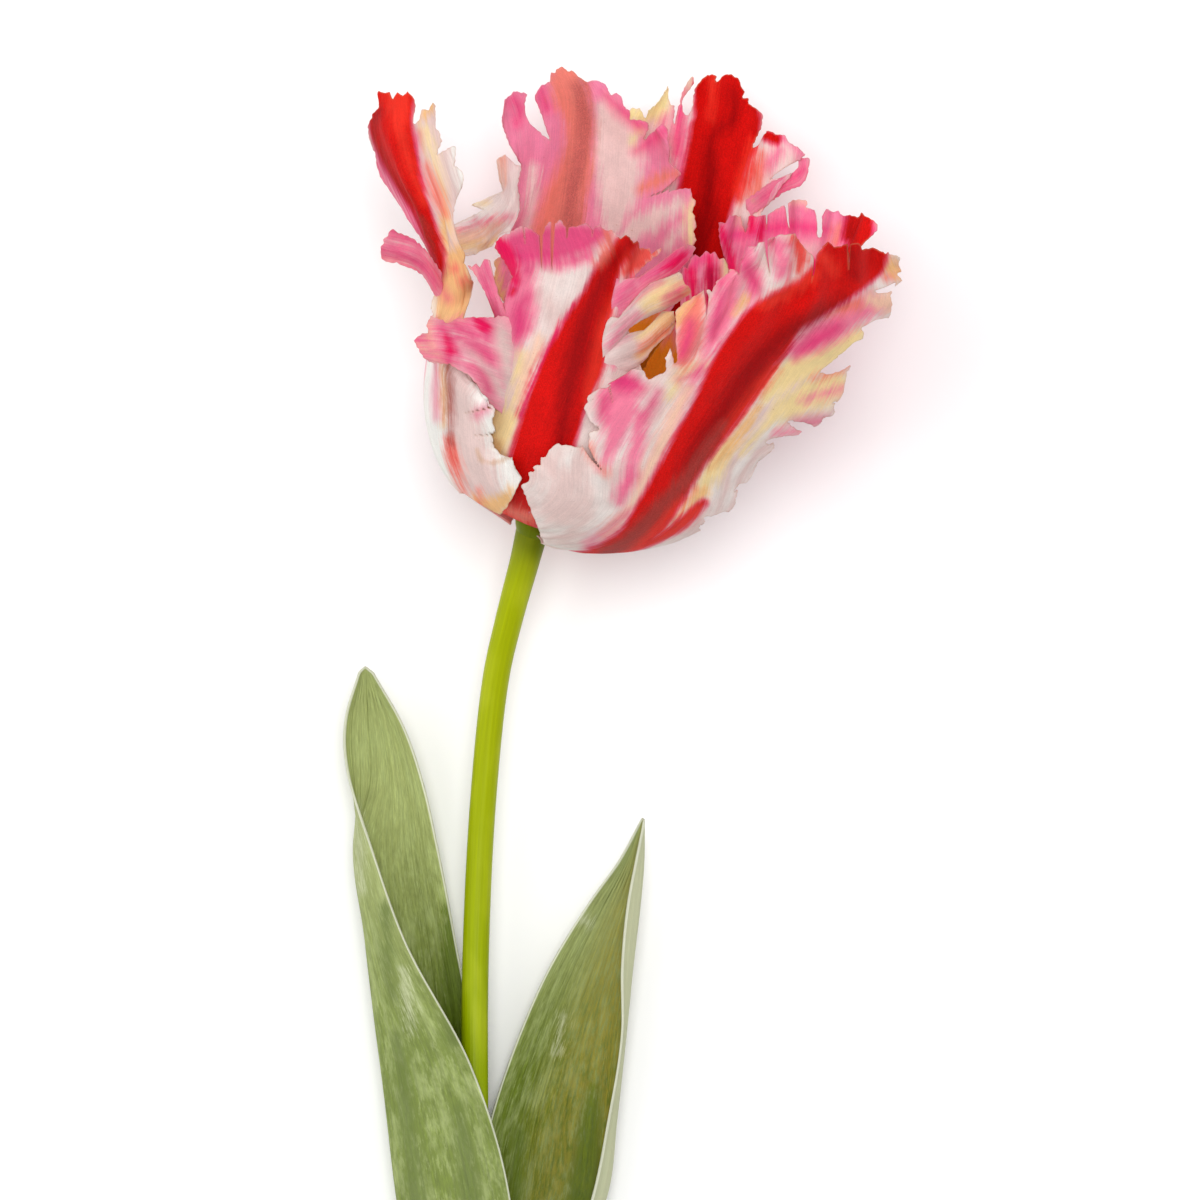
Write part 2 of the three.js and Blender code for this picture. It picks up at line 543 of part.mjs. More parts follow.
function rightBackPetal() {
  const blade = sheet({
    rows: [
      outer(0.4, -152, -190, -226),
      outer(4.5, -142, -190, -238),
      outer(11, -136, -190, -244),
      outer(22, -138, -190, -248),
      outer(34, -150, -192, -246),
      outer(48, -162, -196, -238),
      [seen(14, 80, -37.5), seen(37, 73, -38.5), seen(52.4, 71, -30)],
      [seen(20, 89, -38.5), seen(40, 88, -39), seen(57, 79.4, -28)],
      [seen(25, 97, -39), seen(42, 101.6, -38), seen(61, 84.4, -27)],
    ],
    top: [[-0.72, 0.05, 0.07], [-0.4, 0.08, 0.07], [0.1, 0.02, 0.08], [0.36, 0.04, 0.1], [0.6, 0.1, 0.07],
      [0.84, 0.02, 0.06]],
    right: [[0.84, 0.34, 0.04]],
    waves: [{ edge: 'top', size: 1.2, turns: 4 }],
    cells: [12, 15],
  });
  const lowerLoop = lobe([
    [seen(48, 69, -33), seen(47.4, 71, -33.4), seen(46.8, 73, -34)],
    [seen(55.6, 74.4, -29.4), seen(54, 75.8, -30), seen(52.4, 77, -31)],
    [seen(61, 78.4, -25.6), seen(59.8, 79.6, -26.4), seen(58.6, 80.4, -27.4)],
    [seen(61.6, 82.4, -26), seen(60.2, 82.4, -26.8), seen(58.8, 82.4, -27.8)],
  ]);
  return [blade, lowerLoop];
}

function rightInnerPetal() {
  const blade = sheet({
    rows: [
      inner(3.2, 150, 110, 70),
      inner(8.4, 158, 110, 60),
      inner(16, 160, 110, 54),
      inner(28, 160, 110, 54),
      inner(40, 156, 112, 58),
      inner(54, 150, 114, 64),
      [seen(38, 58, -33), seen(57, 60, -21), seen(69, 57, 2)],
      [seen(41, 67.6, -33.5), seen(58, 71.6, -23), seen(76, 67.8, -6)],
    ],
    top: [[-0.84, 0.03, 0.08], [-0.62, 0.05, 0.06], [-0.08, 0.05, 0.05], [0.36, 0.08, 0.05], [0.74, 0.03, 0.08]],
    waves: [{ edge: 'top', size: 1.4, turns: 5 }],
    cells: [12, 15],
  });
  const crimsonLobe = lobe([
    [seen(33, 41, -33.85), seen(38.6, 41, -31.1), seen(44.8, 41, -26.6)],
    [seen(32.8, 48, -30.4), seen(38.4, 48, -29.8), seen(44.6, 48, -27.4)],
    [seen(33, 55, -29.2), seen(38.2, 55, -29.8), seen(44.2, 55, -29.6)],
    [seen(34, 60.6, -30), seen(38.4, 61.6, -31.2), seen(44, 59.6, -32)],
  ]);
  return [blade, crimsonLobe];
}

// ------------------------------------------------------------- pistil, stamens
// The pistil's height above the organs' start and its radius there.
const PISTIL = [[0, 2.2], [8, 2.6], [17, 2.3], [21, 3.4], [24, 1.2]];
const PISTIL_RIDGES = 0.12;      // how far its three ridges stand out, as a share of its radius

// A stamen's height above the organs' start and its distance from the axis.
const STAMEN_PATH = [[0, STAMEN_RING], [8, 5.4], [13, 7], [22, 8.4]];
const STAMEN_RADII = [0.55, 0.6, 0.6, 0.7, 1.5, 1.6, 1.3, 0.5];

function pistil() {
  const ridge = (angle) => 1 + PISTIL_RIDGES * Math.cos(3 * angle);
  return [turnedSolid(PISTIL, ORGAN_START, 12, 10, ridge)];
}

function stamen(angle) {
  const path = STAMEN_PATH.map(([height, radius]) => bloomPoint([ORGAN_START + height, radius, angle]));
  return [tube(path, STAMEN_RADII, 7, 10)];
}

// ------------------------------------------------------------------ assembly
const flower = new THREE.Group();
flower.add(
  toMesh('stem', stem(), '#9fae12', 0.45),
  toMesh('leaf_left', leftLeaf(), '#8fa35a', 0.6),
  toMesh('leaf_right', rightLeaf(), '#8fa35a', 0.6),
  toMesh('petal_front', frontPetal(), '#d8324f', 0.55),
  toMesh('petal_right_front', rightFrontPetal(), '#d9402f', 0.55),
  toMesh('petal_left', leftPetal(), '#e0b9a0', 0.55),
  toMesh('petal_left_back', leftBackPetal(), '#e58f98', 0.55),
  toMesh('petal_right_back', rightBackPetal(), '#c8201d', 0.55),
  toMesh('petal_right_inner', rightInnerPetal(), '#df4a86', 0.55),
  toMesh('pistil', pistil(), '#b9b55a', 0.5),
);
for (let i = 0; i < STAMEN_COUNT; i += 1) {
  const angle = FIRST_STAMEN + (360 / STAMEN_COUNT) * i;
  flower.add(toMesh(`stamen_${i + 1}`, stamen(angle), '#4a2a3a', 0.7));
}

// The origin is the centre of the underside of the flower's box.
const box = new THREE.Box3().setFromObject(flower);
const centre = box.getCenter(new THREE.Vector3());
flower.position.set(-centre.x, -centre.y, -box.min.z);

export default flower;
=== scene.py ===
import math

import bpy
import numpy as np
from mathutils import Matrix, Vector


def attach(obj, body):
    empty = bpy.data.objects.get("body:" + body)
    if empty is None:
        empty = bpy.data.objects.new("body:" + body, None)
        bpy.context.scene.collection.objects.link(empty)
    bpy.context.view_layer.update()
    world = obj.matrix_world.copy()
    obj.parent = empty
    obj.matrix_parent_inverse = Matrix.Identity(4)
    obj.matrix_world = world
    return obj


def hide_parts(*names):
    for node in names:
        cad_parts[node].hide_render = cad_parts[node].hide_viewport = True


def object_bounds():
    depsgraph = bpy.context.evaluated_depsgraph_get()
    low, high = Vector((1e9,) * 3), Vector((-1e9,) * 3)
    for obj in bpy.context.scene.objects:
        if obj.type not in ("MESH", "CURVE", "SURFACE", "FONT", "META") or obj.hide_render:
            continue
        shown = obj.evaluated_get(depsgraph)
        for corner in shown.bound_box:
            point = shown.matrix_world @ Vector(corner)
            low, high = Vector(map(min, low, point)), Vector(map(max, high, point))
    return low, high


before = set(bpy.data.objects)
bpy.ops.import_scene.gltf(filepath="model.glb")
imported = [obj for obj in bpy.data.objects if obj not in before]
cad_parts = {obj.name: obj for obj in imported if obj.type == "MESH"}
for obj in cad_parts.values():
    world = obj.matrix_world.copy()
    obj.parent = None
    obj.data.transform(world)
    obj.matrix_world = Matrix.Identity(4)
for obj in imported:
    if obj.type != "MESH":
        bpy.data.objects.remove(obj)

# A parrot tulip lying on its back, dressed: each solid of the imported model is
# replaced by a finer piece of the same form, with fringed margins and painted
# petals. Lengths are in millimetres from the point of the surface under the
# bloom's base, until a mesh is made.

CAD_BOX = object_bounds()

# ------------------------------------------------------------- dimensions, mm
BLOOM_BASE = np.array([-19.9045, 80.9498, 0.0])     # that point in the part's frame
BASE_HEIGHT = 25.4
LEAN_RIGHT = math.radians(18)
LEAN_UP = math.radians(20)
CUP_OFFSET = 0.14               # how far the cup bulges to its right, as a share of its width
PETAL_ROOT_RADIUS = 5.0
PETAL_THICKNESS = 0.5
LEAF_THICKNESS = 0.8
RIB_HEIGHT = 0.06
RIB_PITCH = 0.45
RIB_FADE = 3.0                  # width of the margin where a leaf's ribs fade out
SWELLING = 0.2                  # height of a leaf's soft unevenness
VEIN_SPREAD = 20.0              # half a leaf's width where its veins lie widest apart
RECEPTACLE_RADIUS = 4.6
RECEPTACLE_TOP = 3.9
ORGAN_START = RECEPTACLE_TOP + 0.3
STAMEN_COUNT = 6
STAMEN_RING = 3.6
FIRST_STAMEN = 20               # the first stamen's angle round the bloom's axis, in degrees
# The two whorls' cups, as heights along the bloom's axis and radii there.
OUTER_CUP = [(0.4, 5), (3, 14.5), (6, 22), (11, 28.5), (18, 34), (28, 37.8), (40, 39.5), (54, 39.5)]
INNER_CUP = [(3.2, 5), (5.4, 13), (8.4, 19.8), (13, 25.8), (20, 31.2), (29, 35), (40, 36.6), (54, 36.8)]

BLADE_CELLS = (150, 165)        # across and along a petal
LOBE_CELLS = (26, 36)
LEAF_CELLS = (70, 330)
STEM_SIDES = 48
STEM_RINGS = 260
CUSHION_RINGS = 20
STAMEN_SIDES = 24
ORGAN_RINGS = 60
MARGIN_TOOTH = 0.9              # how far apart the teeth of a sheet's own margin stand
CUT_TOOTH = 0.7                 # and those of an outline cut out of it
STROKE_STEP = 2.0               # the spacing of a stroke's points on the sheet
LEAD_STEPS = 13                 # points from a sheet's base to the start of a rooted stroke
LEAD_WIDTH = 0.45               # share of its width that a rooted stroke has at the base
SPOT_SLACK = 0.6                # a place on a sheet counts as hit this near to it,
LAYER_GAP = 2.0                 # and as the sheet's upper layer this near to the highest such place
PAINT_REACH = 8.0               # how far from a stroke's edge its distance is kept
STEEPEST = 2.5                  # the most that a slope stretches a stroke
SLIT_REACH = 4.0                # how far from its line a slit still cuts
FINE_FOLDS = 0.45               # pitch of a sheet's finer folds, as a share of its folds' pitch
FOLDS_START = 20                # where in the noise a sheet's middle line lies
FOLDS_LEFT = 0.12               # share of the folds that is left far from the margin
THIN_EDGE = 0.45                # share of a petal's thickness at its margin
EDGE_TAPER = 2.5                # width of the rim that thins out towards a sheet's margin
LEAST_MARGIN = 0.03             # keeps a cut off the grid's own points
SIDE_GRAIN = 3.0                # offset in the grain that sets a sheet's two sides apart
END_GRAIN = 5.0                 # the same for a tube's ends
FAR = 99.0                      # a margin that cuts nothing
EASE = 3.0                      # the height over which the tallest folds are eased down

AXIS = np.array([
    math.sin(LEAN_RIGHT) * math.cos(LEAN_UP),
    math.cos(LEAN_RIGHT) * math.cos(LEAN_UP),
    math.sin(LEAN_UP),
])
RIGHT = np.array([math.cos(LEAN_RIGHT), -math.sin(LEAN_RIGHT), 0.0])
FRONT = np.cross(RIGHT, AXIS)
BASE = np.array([0.0, 0.0, BASE_HEIGHT])


# ------------------------------------------------------------- bloom's frame
def bloom_points(values):
    """Points from heights along the bloom's axis, distances from it and angles round it."""
    values = np.asarray(values, float)
    height, radius, angle = values[..., 0:1], values[..., 1:2], np.radians(values[..., 2:3])
    return BASE + AXIS * height + FRONT * radius * np.cos(angle) + RIGHT * radius * np.sin(angle)


def seen(x, y, forward):
    """The same three values for a place seen from above, standing forward of the axis."""
    across = x * RIGHT[0] + y * RIGHT[1]
    along = -x * RIGHT[1] + y * RIGHT[0]
    height = (along + forward * math.sin(LEAN_UP)) / math.cos(LEAN_UP)
    return height, math.hypot(across, forward), math.degrees(math.atan2(across, forward))


def hermite(knots, values, t):
    """A smooth curve through values at uneven knots, at each t."""
    knots = np.asarray(knots, float)
    values = np.asarray(values, float)
    wide = (-1,) + (1,) * (values.ndim - 1)
    gaps = np.diff(knots).reshape(wide)
    slopes = np.diff(values, axis=0) / gaps
    tangents = np.concatenate([
        slopes[:1],
        (slopes[:-1] * gaps[1:] + slopes[1:] * gaps[:-1]) / (gaps[1:] + gaps[:-1]),
        slopes[-1:],
    ])
    t = np.atleast_1d(t)
    k = np.searchsorted(knots[1:-1], t)
    span = gaps[k]
    f = ((t - knots[k]).reshape(wide)) / span
    return (
        values[k] * (1 + 2 * f) * (1 - f) ** 2 + tangents[k] * span * f * (1 - f) ** 2
        + values[k + 1] * f * f * (3 - 2 * f) + tangents[k + 1] * span * f * f * (f - 1)
    )


def on_cup(cup, height, angle):
    """A place on a whorl's cup."""
    cup = np.array(cup, float)
    radius = float(hermite(cup[:, 0], cup[:, 1], height)[0])
    return height, radius + (radius - PETAL_ROOT_RADIUS) * CUP_OFFSET * math.sin(math.radians(angle)), angle


def outer(height, *angles):
    """A row of places on the outer whorl's cup."""
    return [on_cup(OUTER_CUP, height, angle) for angle in angles]


def inner(height, *angles):
    """A row of places on the inner whorl's cup."""
    return [on_cup(INNER_CUP, height, angle) for angle in angles]


def above(*places):
    """A row of places given as x, y and how far forward of the axis, as they are seen from above."""
    return [seen(*place) for place in places]


# ---------------------------------------------------------------- small maths
def soft_noise(x, y, seed):
    """Smooth noise from -1 to 1."""
    size = 64
    table = np.random.RandomState(seed).uniform(-1, 1, (size, size))
    column, row = np.floor(x).astype(int), np.floor(y).astype(int)
    fx, fy = x - column, y - row
    fx, fy = fx * fx * (3 - 2 * fx), fy * fy * (3 - 2 * fy)

    def corner(i, j):
        return table[(column + i) % size, (row + j) % size]

    low = corner(0, 0) * (1 - fx) + corner(1, 0) * fx
    high = corner(0, 1) * (1 - fx) + corner(1, 1) * fx
    return low * (1 - fy) + high * fy


def zigzag(place, pitch, seed):
    """Uneven pointed teeth from 0 to 1 along an edge, low and high by turns."""
    rng = np.random.RandomState(seed)
    jitter = 0.35
    count = int(place.max() / pitch) + 4
    knots = (np.arange(count) + rng.uniform(-jitter, jitter, count)) * pitch
    heights = np.where(np.arange(count) % 2, rng.uniform(0, 0.4, count), rng.uniform(0.3, 1, count))
    return np.interp(place, knots, heights)


def nearest_on(points, path):
    """For each point the distance to a path, and how many steps along the path that is."""
    best = np.full(len(points), 1e9)
    place = np.zeros(len(points))
    for k in range(len(path) - 1):
        start, step = path[k], path[k + 1] - path[k]
        f = np.clip((points - start) @ step / max(step @ step, 1e-9), 0, 1)
        gap = np.linalg.norm(points - start - f[:, None] * step, axis=1)
        closer = gap < best
        best[closer] = gap[closer]
        place[closer] = k + f[closer]
    return best, place


def inside_outline(points, outline):
    """Which points of a plane lie inside a closed outline."""
    inside = np.zeros(len(points), bool)
    x, y = points[:, 0], points[:, 1]
    for (x0, y0), (x1, y1) in zip(outline, np.roll(outline, -1, axis=0)):
        crosses = (y0 > y) != (y1 > y)
        with np.errstate(divide="ignore", invalid="ignore"):
            inside ^= crosses & (x < (x1 - x0) * (y - y0) / (y1 - y0) + x0)
    return inside


def running_length(steps, axis=0):
    """Lengths along a path or a grid, from the lengths of its steps."""
    first = np.zeros_like(np.take(steps, [0], axis=axis))
    return np.concatenate([first, np.cumsum(steps, axis=axis)], axis=axis)


def grid_normals(points):
    normals = np.cross(np.gradient(points, axis=1), np.gradient(points, axis=0))
    return normals / np.maximum(np.linalg.norm(normals, axis=2, keepdims=True), 1e-9)


# -------------------------------------------------------------------- sheets
class Sheet:
    """A thin blade lofted through rows of points, then cut to its margin, creased and painted.

    u runs from -1 to 1 across it and v from 0 at its base to 1. Lines on it are
    given as they are seen from above."""

    def __init__(self, rows, cells, in_bloom=True, waves=(), reach=(1.0, 1.0), teeth=0.5, seed=1):
        self.seed = seed
        u = np.linspace(-reach[0], reach[0], cells[0] + 1)
        v = np.linspace(0, reach[1], cells[1] + 1)
        self.u, self.v = np.meshgrid(u, v)
        self.points = self.lofted(np.array(rows, float), u, v, in_bloom)
        self.points = self.points + self.normals() * self.wave(waves)[..., None]
        left = running_length(np.linalg.norm(np.diff(self.points, axis=1), axis=2), axis=1)
        self.along = running_length(np.linalg.norm(np.diff(self.points, axis=0), axis=2))
        self.across = left - left[:, len(u) // 2][:, None]
        right = left[:, -1:] - left
        top = self.along[-1:] - self.along
        left_teeth = teeth * zigzag(self.along, MARGIN_TOOTH, seed)
        right_teeth = teeth * zigzag(self.along, MARGIN_TOOTH, seed + 1)
        top_teeth = teeth * zigzag(left, MARGIN_TOOTH, seed + 2)
        sides = np.minimum(left - left_teeth, right - right_teeth)
        self.margin = np.minimum(sides, top - top_teeth)
        self.layers = {}

    def lofted(self, rows, u, v, in_bloom):
        """A smooth surface through the rows, spread by the length of its middle line."""
        middle = (rows.shape[1] - 1) // 2
        if in_bloom:
            rows[..., 2] = np.unwrap(rows[..., 2], period=360, axis=0)
        spine = bloom_points(rows[:, middle]) if in_bloom else rows[:, middle]
        lengths = np.linalg.norm(np.diff(spine, axis=0), axis=1)
        lines = hermite(running_length(lengths) / lengths.sum(), rows, v)
        across_knots = np.linspace(-1, 1, rows.shape[1])
        surface = np.swapaxes(hermite(across_knots, np.swapaxes(lines, 0, 1), u), 0, 1)
        return bloom_points(surface) if in_bloom else surface

    def normals(self):
        return grid_normals(self.points)

    def wave(self, waves):
        """How far waves along the top edge or the right margin lift the sheet."""
        total = np.zeros_like(self.u)
        for edge, size, turns in waves:
            if edge == "top":
                total += size * np.sin(math.pi * turns * self.u) * self.v ** 5
            else:
                swing = size * np.sin(2 * math.pi * turns * self.v)
                total += swing * np.maximum(0, self.u) ** 3 * np.clip(2 * self.v - 0.5, 0, 1)
        return total

    def flat(self):
        return self.points.reshape(-1, 3)

    def traced(self, stroke, root=None):
        """A stroke of (x, y, half width) as a path on the sheet, with its half widths.

        With a root, the path starts at that u of the sheet's base."""
        line = np.array(stroke, float)
        if len(line) > 1:
            chords = running_length(np.linalg.norm(np.diff(line[:, :2], axis=0), axis=1))
            count = max(2, int(chords[-1] / STROKE_STEP) + 1)
            line = hermite(chords, line, np.linspace(0, chords[-1], count))
        flat = self.flat()
        spots = []
        for x, y in line[:, :2]:
            gap = np.hypot(flat[:, 0] - x, flat[:, 1] - y)
            close = np.flatnonzero(gap < gap.min() + SPOT_SLACK)
            close = close[flat[close, 2] > flat[close, 2].max() - LAYER_GAP]
            spots.append(close[np.argmin(gap[close])])
        path, widths = flat[spots], line[:, 2]
        path[:, :2] = line[:, :2]
        if root is None:
            return path, widths
        row, column = divmod(spots[0], self.u.shape[1])
        start = int(np.abs(self.u[0] - root).argmin())
        steps = np.linspace(0, 1, LEAD_STEPS + 1)[:-1]
        rows = np.round(steps * row).astype(int)
        columns = np.round(start + steps * (column - start)).astype(int)
        lead_widths = widths[0] * (LEAD_WIDTH + (1 - LEAD_WIDTH) * steps)
        return np.concatenate([self.points[rows, columns], path]), np.concatenate([lead_widths, widths])

    def within(self, stroke, root=None):
        """How far each place lies inside a stroke's edge as seen from above.

        Where the sheet is too steep or turns under, the length along it counts instead."""
        path, widths = self.traced(stroke, root)
        if len(path) == 1:
            path, widths = np.repeat(path, 2, axis=0), np.repeat(widths, 2)
        seen_gap, place = nearest_on(self.flat()[:, :2], path[:, :2])
        gap = np.maximum(seen_gap, nearest_on(self.flat(), path)[0] / STEEPEST)
        half = np.interp(place, np.arange(len(widths)), widths)
        return (half - gap).reshape(self.u.shape)

    def paint(self, *strokes, root=None):
        """Adds strokes, each the name of its layer and then (x, y, half width) along it."""
        for layer, *stroke in strokes:
            depth = np.clip(self.within(stroke, root), -PAINT_REACH, PAINT_REACH)
            self.layers[layer] = np.maximum(self.layers.get(layer, -PAINT_REACH), depth)

    def root_paint(self, layer, length):
        """Paints the sheet from its base up to a length along it."""
        self.layers[layer] = np.clip(length - self.along, -PAINT_REACH, PAINT_REACH)

    def fill(self, layer, depth):
        """Paints the whole sheet, more heavily the greater the depth."""
        self.layers[layer] = np.full(self.u.shape, float(depth))

    def crease(self, height, *stroke):
        """Raises the sheet along a stroke, towards a viewer above, or sinks it if height is negative."""
        path, widths = self.traced(stroke)
        gap, place = nearest_on(self.flat(), path)
        half = np.interp(place, np.arange(len(widths)), widths)
        normals = self.normals()
        normals *= np.where(normals[..., 2:3] < 0, -1, 1)
        rise = height * np.exp(-(gap / half) ** 2).reshape(self.u.shape)
        self.points = self.points + normals * rise[..., None]

    def ruffle(self, size, pitch, depth):
        """Small folds along the veins, with finer ones on them, deepest at the margin."""
        fine_pitch = pitch * FINE_FOLDS
        folds = soft_noise(self.across / pitch + FOLDS_START, self.along / (pitch * 3.5), self.seed + 7)
        fine = soft_noise(self.across / fine_pitch + FOLDS_START, self.along / (pitch * 2.5), self.seed + 8)
        fading = FOLDS_LEFT + np.exp(-np.maximum(self.margin, 0) / depth)
        rise = size * (folds + 0.4 * fine) * fading
        self.points = self.points + self.normals() * rise[..., None]

    def trim(self, outline, where=True, teeth=0.4, hole=False, slack=0.0):
        """Cuts the sheet to an outline, or cuts a hole of that outline in it.

        Slack is how far, in mm, the cut stays outside the outline."""
        outline = np.array(outline, float)
        flat = self.flat()[:, :2]
        closed = np.vstack([outline, outline[:1]])
        gap, place = nearest_on(flat, closed)
        lengths = running_length(np.linalg.norm(np.diff(closed, axis=0), axis=1))
        gap = gap * np.where(inside_outline(flat, outline), 1, -1) * (-1 if hole else 1)
        gap -= teeth * zigzag(np.interp(place, np.arange(len(closed)), lengths), CUT_TOOTH, self.seed + 3)
        gap = gap.reshape(self.u.shape) + slack
        self.margin = np.where(where, np.minimum(self.margin, gap), self.margin)

    def slit(self, width, *line):
        """Cuts a slit that narrows from the first point, at the margin, to the last."""
        path = np.array(line, float)
        flat = self.flat()
        spots, _ = self.traced([(x, y, 1) for x, y in line])
        close = nearest_on(flat, spots)[0] < SLIT_REACH
        gap, place = nearest_on(flat[:, :2], path)
        half = width / 2 * np.maximum(1 - place / (len(path) - 1), 0) ** 0.7
        gap = np.where(close & (half > 0), gap - half, FAR).reshape(self.u.shape)
        self.margin = np.minimum(self.margin, gap)

    def skin(self, thickness=PETAL_THICKNESS, thin_edge=THIN_EDGE):
        """The closed thin solid: points, triangles, and what each point carries."""
        normals = self.normals()
        points = self.points.copy()
        sunk = points[..., 2] - np.abs(normals[..., 2]) * thickness / 2
        points[..., 2] -= np.minimum(sunk, 0)
        off_grid = np.where(self.margin < 0, -LEAST_MARGIN, LEAST_MARGIN)
        margin = np.where(np.abs(self.margin) < LEAST_MARGIN, off_grid, self.margin)
        names = sorted(self.layers)
        single = [margin, self.u, self.across, self.along] + [self.layers[name] for name in names]
        columns = np.concatenate([points, normals, np.stack(single, axis=2)], axis=2)
        data, triangles = clipped(columns.reshape(margin.size, -1), grid_triangles(points), margin.ravel())
        triangles = biggest_part(triangles, len(data))
        used, triangles = np.unique(triangles, return_inverse=True)
        triangles = triangles.reshape(-1, 3)
        data = data[used]
        places, outward = data[:, :3], data[:, 3:6]
        margin, share, across, along, *painted = data[:, 6:].T
        taper = np.clip(margin[:, None] / EDGE_TAPER, 0, 1)
        half = thickness / 2 * (thin_edge + (1 - thin_edge) * taper)
        faces = np.concatenate([places + outward * half, places - outward * half])
        count = len(data)
        rim = open_edges(triangles)
        walls = np.concatenate([
            np.stack([rim[:, 1], rim[:, 0], rim[:, 0] + count], axis=1),
            np.stack([rim[:, 1], rim[:, 0] + count, rim[:, 1] + count], axis=1),
        ])
        side = np.repeat([1.0, -1.0], count)
        inward = np.sign(((BASE - places) * outward).sum())
        carried = {name: np.tile(values, 2) for name, values in zip(names, painted)}
        carried["margin"] = np.tile(margin, 2)
        carried["across"] = np.tile(share, 2)
        carried["side"] = side
        carried["inside"] = side * inward
        carried["grain"] = np.stack([np.tile(across, 2), np.tile(along, 2), side * SIDE_GRAIN], axis=1)
        return faces, np.concatenate([triangles, triangles[:, ::-1] + count, walls]), carried


def grid_triangles(points):
    """Two triangles for each cell of a grid, split along its shorter diagonal."""
    rows, columns = points.shape[:2]
    corner = np.arange(rows * columns).reshape(rows, columns)
    a, b, c, d = corner[:-1, :-1], corner[:-1, 1:], corner[1:, 1:], corner[1:, :-1]
    first = np.linalg.norm(points[:-1, :-1] - points[1:, 1:], axis=2)
    second = np.linalg.norm(points[:-1, 1:] - points[1:, :-1], axis=2)
    short = (first <= second)[..., None]
    one = np.where(short, np.stack([a, b, c], axis=2), np.stack([a, b, d], axis=2))
    two = np.where(short, np.stack([a, c, d], axis=2), np.stack([b, c, d], axis=2))
    return np.concatenate([one.reshape(-1, 3), two.reshape(-1, 3)])


def clipped(data, triangles, field):
    """Cuts triangles where the field falls below 0."""
    kept = field[triangles] > 0
    count = kept.sum(axis=1)
    whole = triangles[count == 3]
    # Each cut triangle is turned so that its odd corner comes first.
    lone = triangles[count == 1]
    lone = turned(lone, kept[count == 1].argmax(axis=1))
    pair = triangles[count == 2]
    pair = turned(pair, (~kept[count == 2]).argmax(axis=1))
    edges = np.concatenate([lone[:, [0, 1]], lone[:, [0, 2]], pair[:, [0, 1]], pair[:, [0, 2]]])
    unique, index = np.unique(np.sort(edges, axis=1), axis=0, return_inverse=True)
    index = index.reshape(-1) + len(data)
    low, high = field[unique[:, 0]], field[unique[:, 1]]
    share = (low / (low - high))[:, None]
    added = data[unique[:, 0]] * (1 - share) + data[unique[:, 1]] * share
    n, m = len(lone), len(pair)
    lone_a, lone_b = index[:n], index[n:2 * n]
    pair_a, pair_b = index[2 * n:2 * n + m], index[2 * n + m:]
    return np.concatenate([data, added]), np.concatenate([
        whole,
        np.stack([lone[:, 0], lone_a, lone_b], axis=1),
        np.stack([pair_a, pair[:, 1], pair[:, 2]], axis=1),
        np.stack([pair_a, pair[:, 2], pair_b], axis=1),
    ])


def turned(triangles, first):
    order = (first[:, None] + np.arange(3)) % 3
    return np.take_along_axis(triangles, order, axis=1)


def biggest_part(triangles, count):
    """The triangles of the largest connected part."""
    label = np.arange(count)
    while True:
        lowest = label[triangles].min(axis=1)
        before = label.copy()
        for corner in range(3):
            np.minimum.at(label, triangles[:, corner], lowest)
        label = label[label]
        if (label == before).all():
            break
    parts = label[triangles[:, 0]]
    names, sizes = np.unique(parts, return_counts=True)
    return triangles[parts == names[sizes.argmax()]]


def open_edges(triangles):
    """Directed edges that only one triangle has."""
    edges = np.concatenate([triangles[:, [0, 1]], triangles[:, [1, 2]], triangles[:, [2, 0]]])
    size = edges.max() + 1
    codes = edges[:, 0] * size + edges[:, 1]
    return edges[~np.isin(codes, edges[:, 1] * size + edges[:, 0])]


def lobe(rows, cells=LOBE_CELLS, **options):
    """A small sheet that stands out of a petal, from rows of places as they are seen from above."""
    return Sheet(bloom_points([above(*row) for row in rows]), cells, in_bloom=False, **options)


# -------------------------------------------------------------------- meshes
def joined(skins):
    """Several skins as one, each point carrying every layer."""
    names = sorted({name for _, _, carried in skins for name in carried})
    start = 0
    triangles = []
    for skin_points, skin_triangles, _ in skins:
        triangles.append(skin_triangles + start)
        start += len(skin_points)
    carried = {}
    for name in names:
        parts = [kept.get(name, np.full(len(points), -PAINT_REACH)) for points, _, kept in skins]
        carried[name] = np.concatenate(parts)
    return np.concatenate([points for points, _, _ in skins]), np.concatenate(triangles), carried


def inside_box(points):
    """Eases the highest folds under the top of the CAD's box and holds the rest inside it."""
    low, high = (np.array(corner) * 1000 - BLOOM_BASE for corner in CAD_BOX)
    over = np.maximum(points[:, 2] - high[2] + EASE, 0)
    points[:, 2] -= over - EASE * (1 - np.exp(-over / EASE))
    return np.clip(points, low, high)


def piece(name, node, skins, material):
    """A piece of the flower in place of a CAD node."""
    points, triangles, carried = joined(skins)
    points = inside_box(points)
    mesh = bpy.data.meshes.new(name)
    mesh.vertices.add(len(points))
    mesh.vertices.foreach_set("co", ((points + BLOOM_BASE) * 0.001).astype(np.float32).ravel())
    mesh.loops.add(triangles.size)
    mesh.loops.foreach_set("vertex_index", triangles.astype(np.int32).ravel())
    mesh.polygons.add(len(triangles))
    mesh.polygons.foreach_set("loop_start", np.arange(0, triangles.size, 3, dtype=np.int32))
    mesh.update(calc_edges=True)
    for key, values in carried.items():
        kind, field = ("FLOAT_VECTOR", "vector") if values.ndim == 2 else ("FLOAT", "value")
        attribute = mesh.attributes.new(key, kind, "POINT")
        attribute.data.foreach_set(field, values.astype(np.float32).ravel())
    mesh.shade_smooth()
    mesh.materials.append(material)
    made = bpy.data.objects.new(name, mesh)
    bpy.context.scene.collection.objects.link(made)
    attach(made, "root")
    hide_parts(node)


